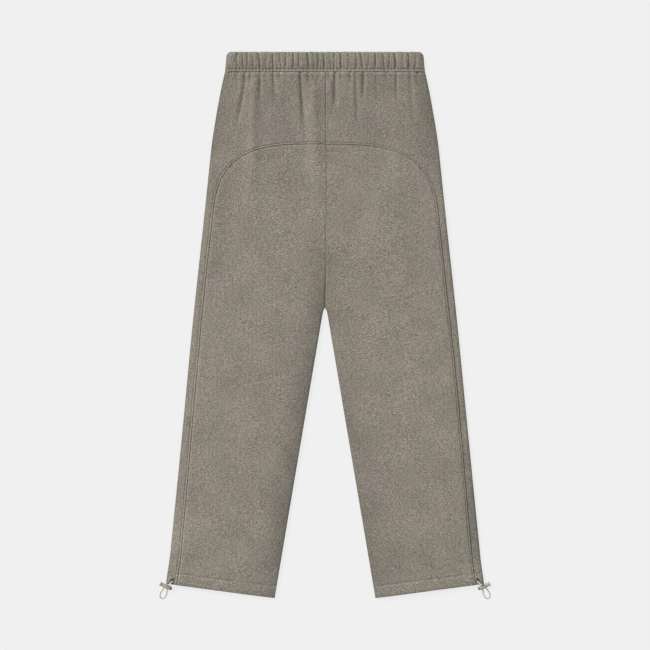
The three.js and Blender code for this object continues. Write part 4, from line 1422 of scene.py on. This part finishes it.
class SWEATPANTS_OT_stage(bpy.types.Operator):
    """Sets up the camera over the garment, the soft light and the pale floor"""

    bl_idname = "sweatpants.stage"
    bl_label = "Stage"

    def execute(self, context):
        settings = context.scene.sweatpants_stage
        camera = bpy.data.objects.new("camera", bpy.data.cameras.new("camera"))
        camera.data.lens = settings.lens
        camera.data.sensor_width = 36.0
        camera.location = (0, 0, settings.camera_distance)
        context.collection.objects.link(camera)
        context.scene.camera = camera
        key = bpy.data.objects.new("key", bpy.data.lights.new("key", "SUN"))
        key.data.energy = settings.key_strength
        key.data.angle = KEY_WIDTH
        towards = Vector((math.cos(KEY_AZIMUTH), math.sin(KEY_AZIMUTH), math.tan(KEY_ELEVATION)))
        key.rotation_euler = towards.to_track_quat("Z", "Y").to_euler()
        context.collection.objects.link(key)
        world = bpy.data.worlds.new("studio")
        world.use_nodes = True
        sky = world.node_tree.nodes["Background"]
        sky.inputs["Color"].default_value = (1, 1, 1, 1)
        nodes = world.node_tree
        way = add_node(nodes, "ShaderNodeTexCoord").outputs["Generated"]
        height = add_node(nodes, "ShaderNodeSeparateXYZ", {0: way}).outputs["Z"]
        # Near the horizon the sweep is as pale as the floor, and higher up it gives the even fill.
        fill = remap(nodes, height, 0.0, 0.35, 0.87, settings.fill_strength)
        nodes.links.new(fill, sky.inputs["Strength"])
        context.scene.world = world
        context.scene.view_settings.view_transform = "Standard"
        signs = ((-1, -1), (1, -1), (1, 1), (-1, 1))
        corners = np.array([(x * FLOOR_REACH, y * FLOOR_REACH, FLOOR_LEVEL) for x, y in signs])
        floor = put_object("floor", corners, [(0, 1, 2, 3)], floor_material(settings))
        return {"FINISHED"}


class SWEATPANTS_OT_cords(bpy.types.Operator):
    """Lays the two elastic cords out of their eyelets, through the locks and round their loops"""

    bl_idname = "sweatpants.cords"
    bl_label = "Hem Cords"

    def execute(self, context):
        settings = context.scene.sweatpants_cord
        material = cord_material("braided_elastic_cord", settings.cord_colour)
        for side, name in SIDES:
            cord, line = cord_piece(f"{name}_cord", side, settings, material)
            declare(cord, f"{name}_hem_cord", slot="cord")
        return {"FINISHED"}


class SWEATPANTS_OT_locks(bpy.types.Operator):
    """Turns the barrels and buttons of the two cord locks and cuts their cord holes"""

    bl_idname = "sweatpants.locks"
    bl_label = "Cord Locks"

    def execute(self, context):
        settings = context.scene.sweatpants_cord
        material = lock_material("moulded_acetal_satin", settings.lock_colour)
        # The barrel's closed end is drawn in a darker colour.
        tail = lock_material("moulded_acetal_darker_tail_end", settings.tail_end_colour)
        half = LOCK_SLOT_HALF_LENGTH
        for side, name in SIDES:
            for part, profile, node, high in (
                ("barrel", HOUSING_PROFILE, "body", half),
                ("button", BUTTON_PROFILE, "plunger", half + PRESS_TRAVEL),
            ):
                piece = lathe_piece(f"{name}_lock_{part}", profile, side, material, tail)
                set_normals_outwards(piece)
                cutter = slot_cutter(side, -half, high, material)
                set_normals_outwards(cutter)
                cut_with(piece, cutter)
                soften_edges(piece, 0.22, 35)
                declare(piece, f"{name}_lock_{node}", slot="lock")
        return {"FINISHED"}


class SWEATPANTS_OT_legs(bpy.types.Operator):
    """Makes the outer panels and back legs, with their walls, seams, folds and eyelets"""

    bl_idname = "sweatpants.legs"
    bl_label = "Legs and Yoke"

    def execute(self, context):
        settings = context.scene.sweatpants_cloth
        material = fleece_material("brushed_fleece_heather", settings)
        for side, name in SIDES:
            grids = [yoke_surface(side, settings), outer_surface(side, settings)]
            hole = eyelet_block(len(grids[1]))
            outer = cloth_piece(f"{name}_outer_cloth", grids, side < 0, settings, material, hole)
            declare(outer, f"{name}_outer_panel")
            grids = [back_leg_surface(side, settings)]
            leg = cloth_piece(f"{name}_back_leg_cloth", grids, side < 0, settings, material)
            declare(leg, f"{name}_back_leg")
        return {"FINISHED"}


class SWEATPANTS_OT_waistband(bpy.types.Operator):
    """Makes the gathered waistband as one closed casing"""

    bl_idname = "sweatpants.waistband"
    bl_label = "Waistband"

    def execute(self, context):
        settings = context.scene.sweatpants_cloth
        points = band_surface(settings)
        rows, columns = points.shape[:2]
        # The band's copy of the fleece is darkened as painted shade of its gathers, and tinted a little
        # greener.
        material = fleece_material("brushed_fleece_heather_band_shaded", settings, (0.945, 0.968, 0.968))
        piece = put_object("waistband_cloth", points.reshape(-1, 3), ring_faces(rows, columns), material)
        set_normals_outwards(piece)
        # Painted shade and painted highlights, and the greener cast, on the band's points.
        paint_shade_and_hue(piece)
        declare(piece, "waistband")
        return {"FINISHED"}


class SWEATPANTS_OT_stitching(bpy.types.Operator):
    """Lays the topstitching beside the seams, the hems and the waistband, and binds the eyelets"""

    bl_idname = "sweatpants.stitching"
    bl_label = "Stitching"

    def execute(self, context):
        settings = context.scene.sweatpants_cloth
        material = thread_material("spun_polyester_thread", settings.thread_colour)
        binding = thread_material("polyester_buttonhole_thread", settings.binding_colour)
        band = bpy.data.objects["waistband_cloth"]

        def sewn(carriers, line_xy):
            pitch = settings.stitch_pitch
            line = line_on(carriers, line_xy, STITCH_LIFT)
            return stitch_row(line, pitch, pitch * STITCH_SHARE, STITCH_RADIUS, STITCH_SINK)

        across = np.linspace(-WAIST_HALF + BAND_MARGIN, WAIST_HALF - BAND_MARGIN, 700)
        levels = (BAND_STITCH_DOWN, BAND_CREST_DOWN)
        rows = [sewn([band], np.column_stack([across, 0 * across + TOP_EDGE - down])) for down in levels]
        declare(stitched_piece("waistband_stitching", rows, material))
        for side, name in SIDES:
            outer, leg = (bpy.data.objects[f"{name}_{part}"] for part in ("outer_cloth", "back_leg_cloth"))
            tangent = np.gradient(SEAM_POINTS, axis=0)
            tangent /= np.linalg.norm(tangent, axis=1, keepdims=True)
            inset = topstitch_inset(side, SEAM_ALONG)[:, None]
            beside = SEAM_POINTS + inset * np.column_stack([tangent[:, 1], -tangent[:, 0]])
            kept = beside[(beside[:, 0] > STITCH_MARGIN) & (beside[:, 1] < OUTER_HEM_DOWN - SEAM_END)]
            seam_xy = np.column_stack(laid_out(side, kept[:, 0], kept[:, 1]))
            inner, fold = inner_half(inner_down(HEM_LINE)), outer_half(HEM_LINE)
            x = np.linspace(inner + STITCH_MARGIN, fold - STITCH_MARGIN, 420)
            hem_xy = np.column_stack(laid_out(side, x, row_down(HEM_LINE, x)))
            rows = [sewn([outer], seam_xy), sewn([outer, leg], hem_xy)]
            declare(stitched_piece(f"{name}_topstitching", rows, material))
            declare(eyelet_binding(f"{name}_eyelet_binding", side, outer, binding))
        return {"FINISHED"}


class SWEATPANTS_PT_panel(bpy.types.Panel):
    """Lists the settings and the pieces in the order they are made"""

    bl_idname = "SWEATPANTS_PT_panel"
    bl_label = "Sweatpants"
    bl_space_type = "VIEW_3D"
    bl_region_type = "UI"
    bl_category = "Sweatpants"

    def draw(self, context):
        layout = self.layout
        for name in ("sweatpants_stage", "sweatpants_cord", "sweatpants_cloth"):
            group = getattr(context.scene, name)
            box = layout.box()
            box.label(text=type(group).__doc__)
            for prop in group.bl_rna.properties:
                if prop.identifier not in ("name", "rna_type"):
                    box.prop(group, prop.identifier)
        for operator in STEPS:
            layout.operator(operator.bl_idname)


STEPS = (
    SWEATPANTS_OT_stage,
    SWEATPANTS_OT_locks,
    SWEATPANTS_OT_cords,
    SWEATPANTS_OT_legs,
    SWEATPANTS_OT_waistband,
    SWEATPANTS_OT_stitching,
)
GROUPS = (
    (ClothSettings, "sweatpants_cloth"),
    (CordSettings, "sweatpants_cord"),
    (StageSettings, "sweatpants_stage"),
)


def register():
    for group, name in GROUPS:
        bpy.utils.register_class(group)
        setattr(bpy.types.Scene, name, bpy.props.PointerProperty(type=group))
    for step in STEPS:
        bpy.utils.register_class(step)
    bpy.utils.register_class(SWEATPANTS_PT_panel)


def unregister():
    bpy.utils.unregister_class(SWEATPANTS_PT_panel)
    for step in reversed(STEPS):
        bpy.utils.unregister_class(step)
    for group, name in reversed(GROUPS):
        delattr(bpy.types.Scene, name)
        bpy.utils.unregister_class(group)


def main():
    register()
    bpy.ops.sweatpants.stage()
    bpy.ops.sweatpants.locks()
    bpy.ops.sweatpants.cords()
    bpy.ops.sweatpants.legs()
    bpy.ops.sweatpants.waistband()
    bpy.ops.sweatpants.stitching()


if __name__ == "__main__":
    main()
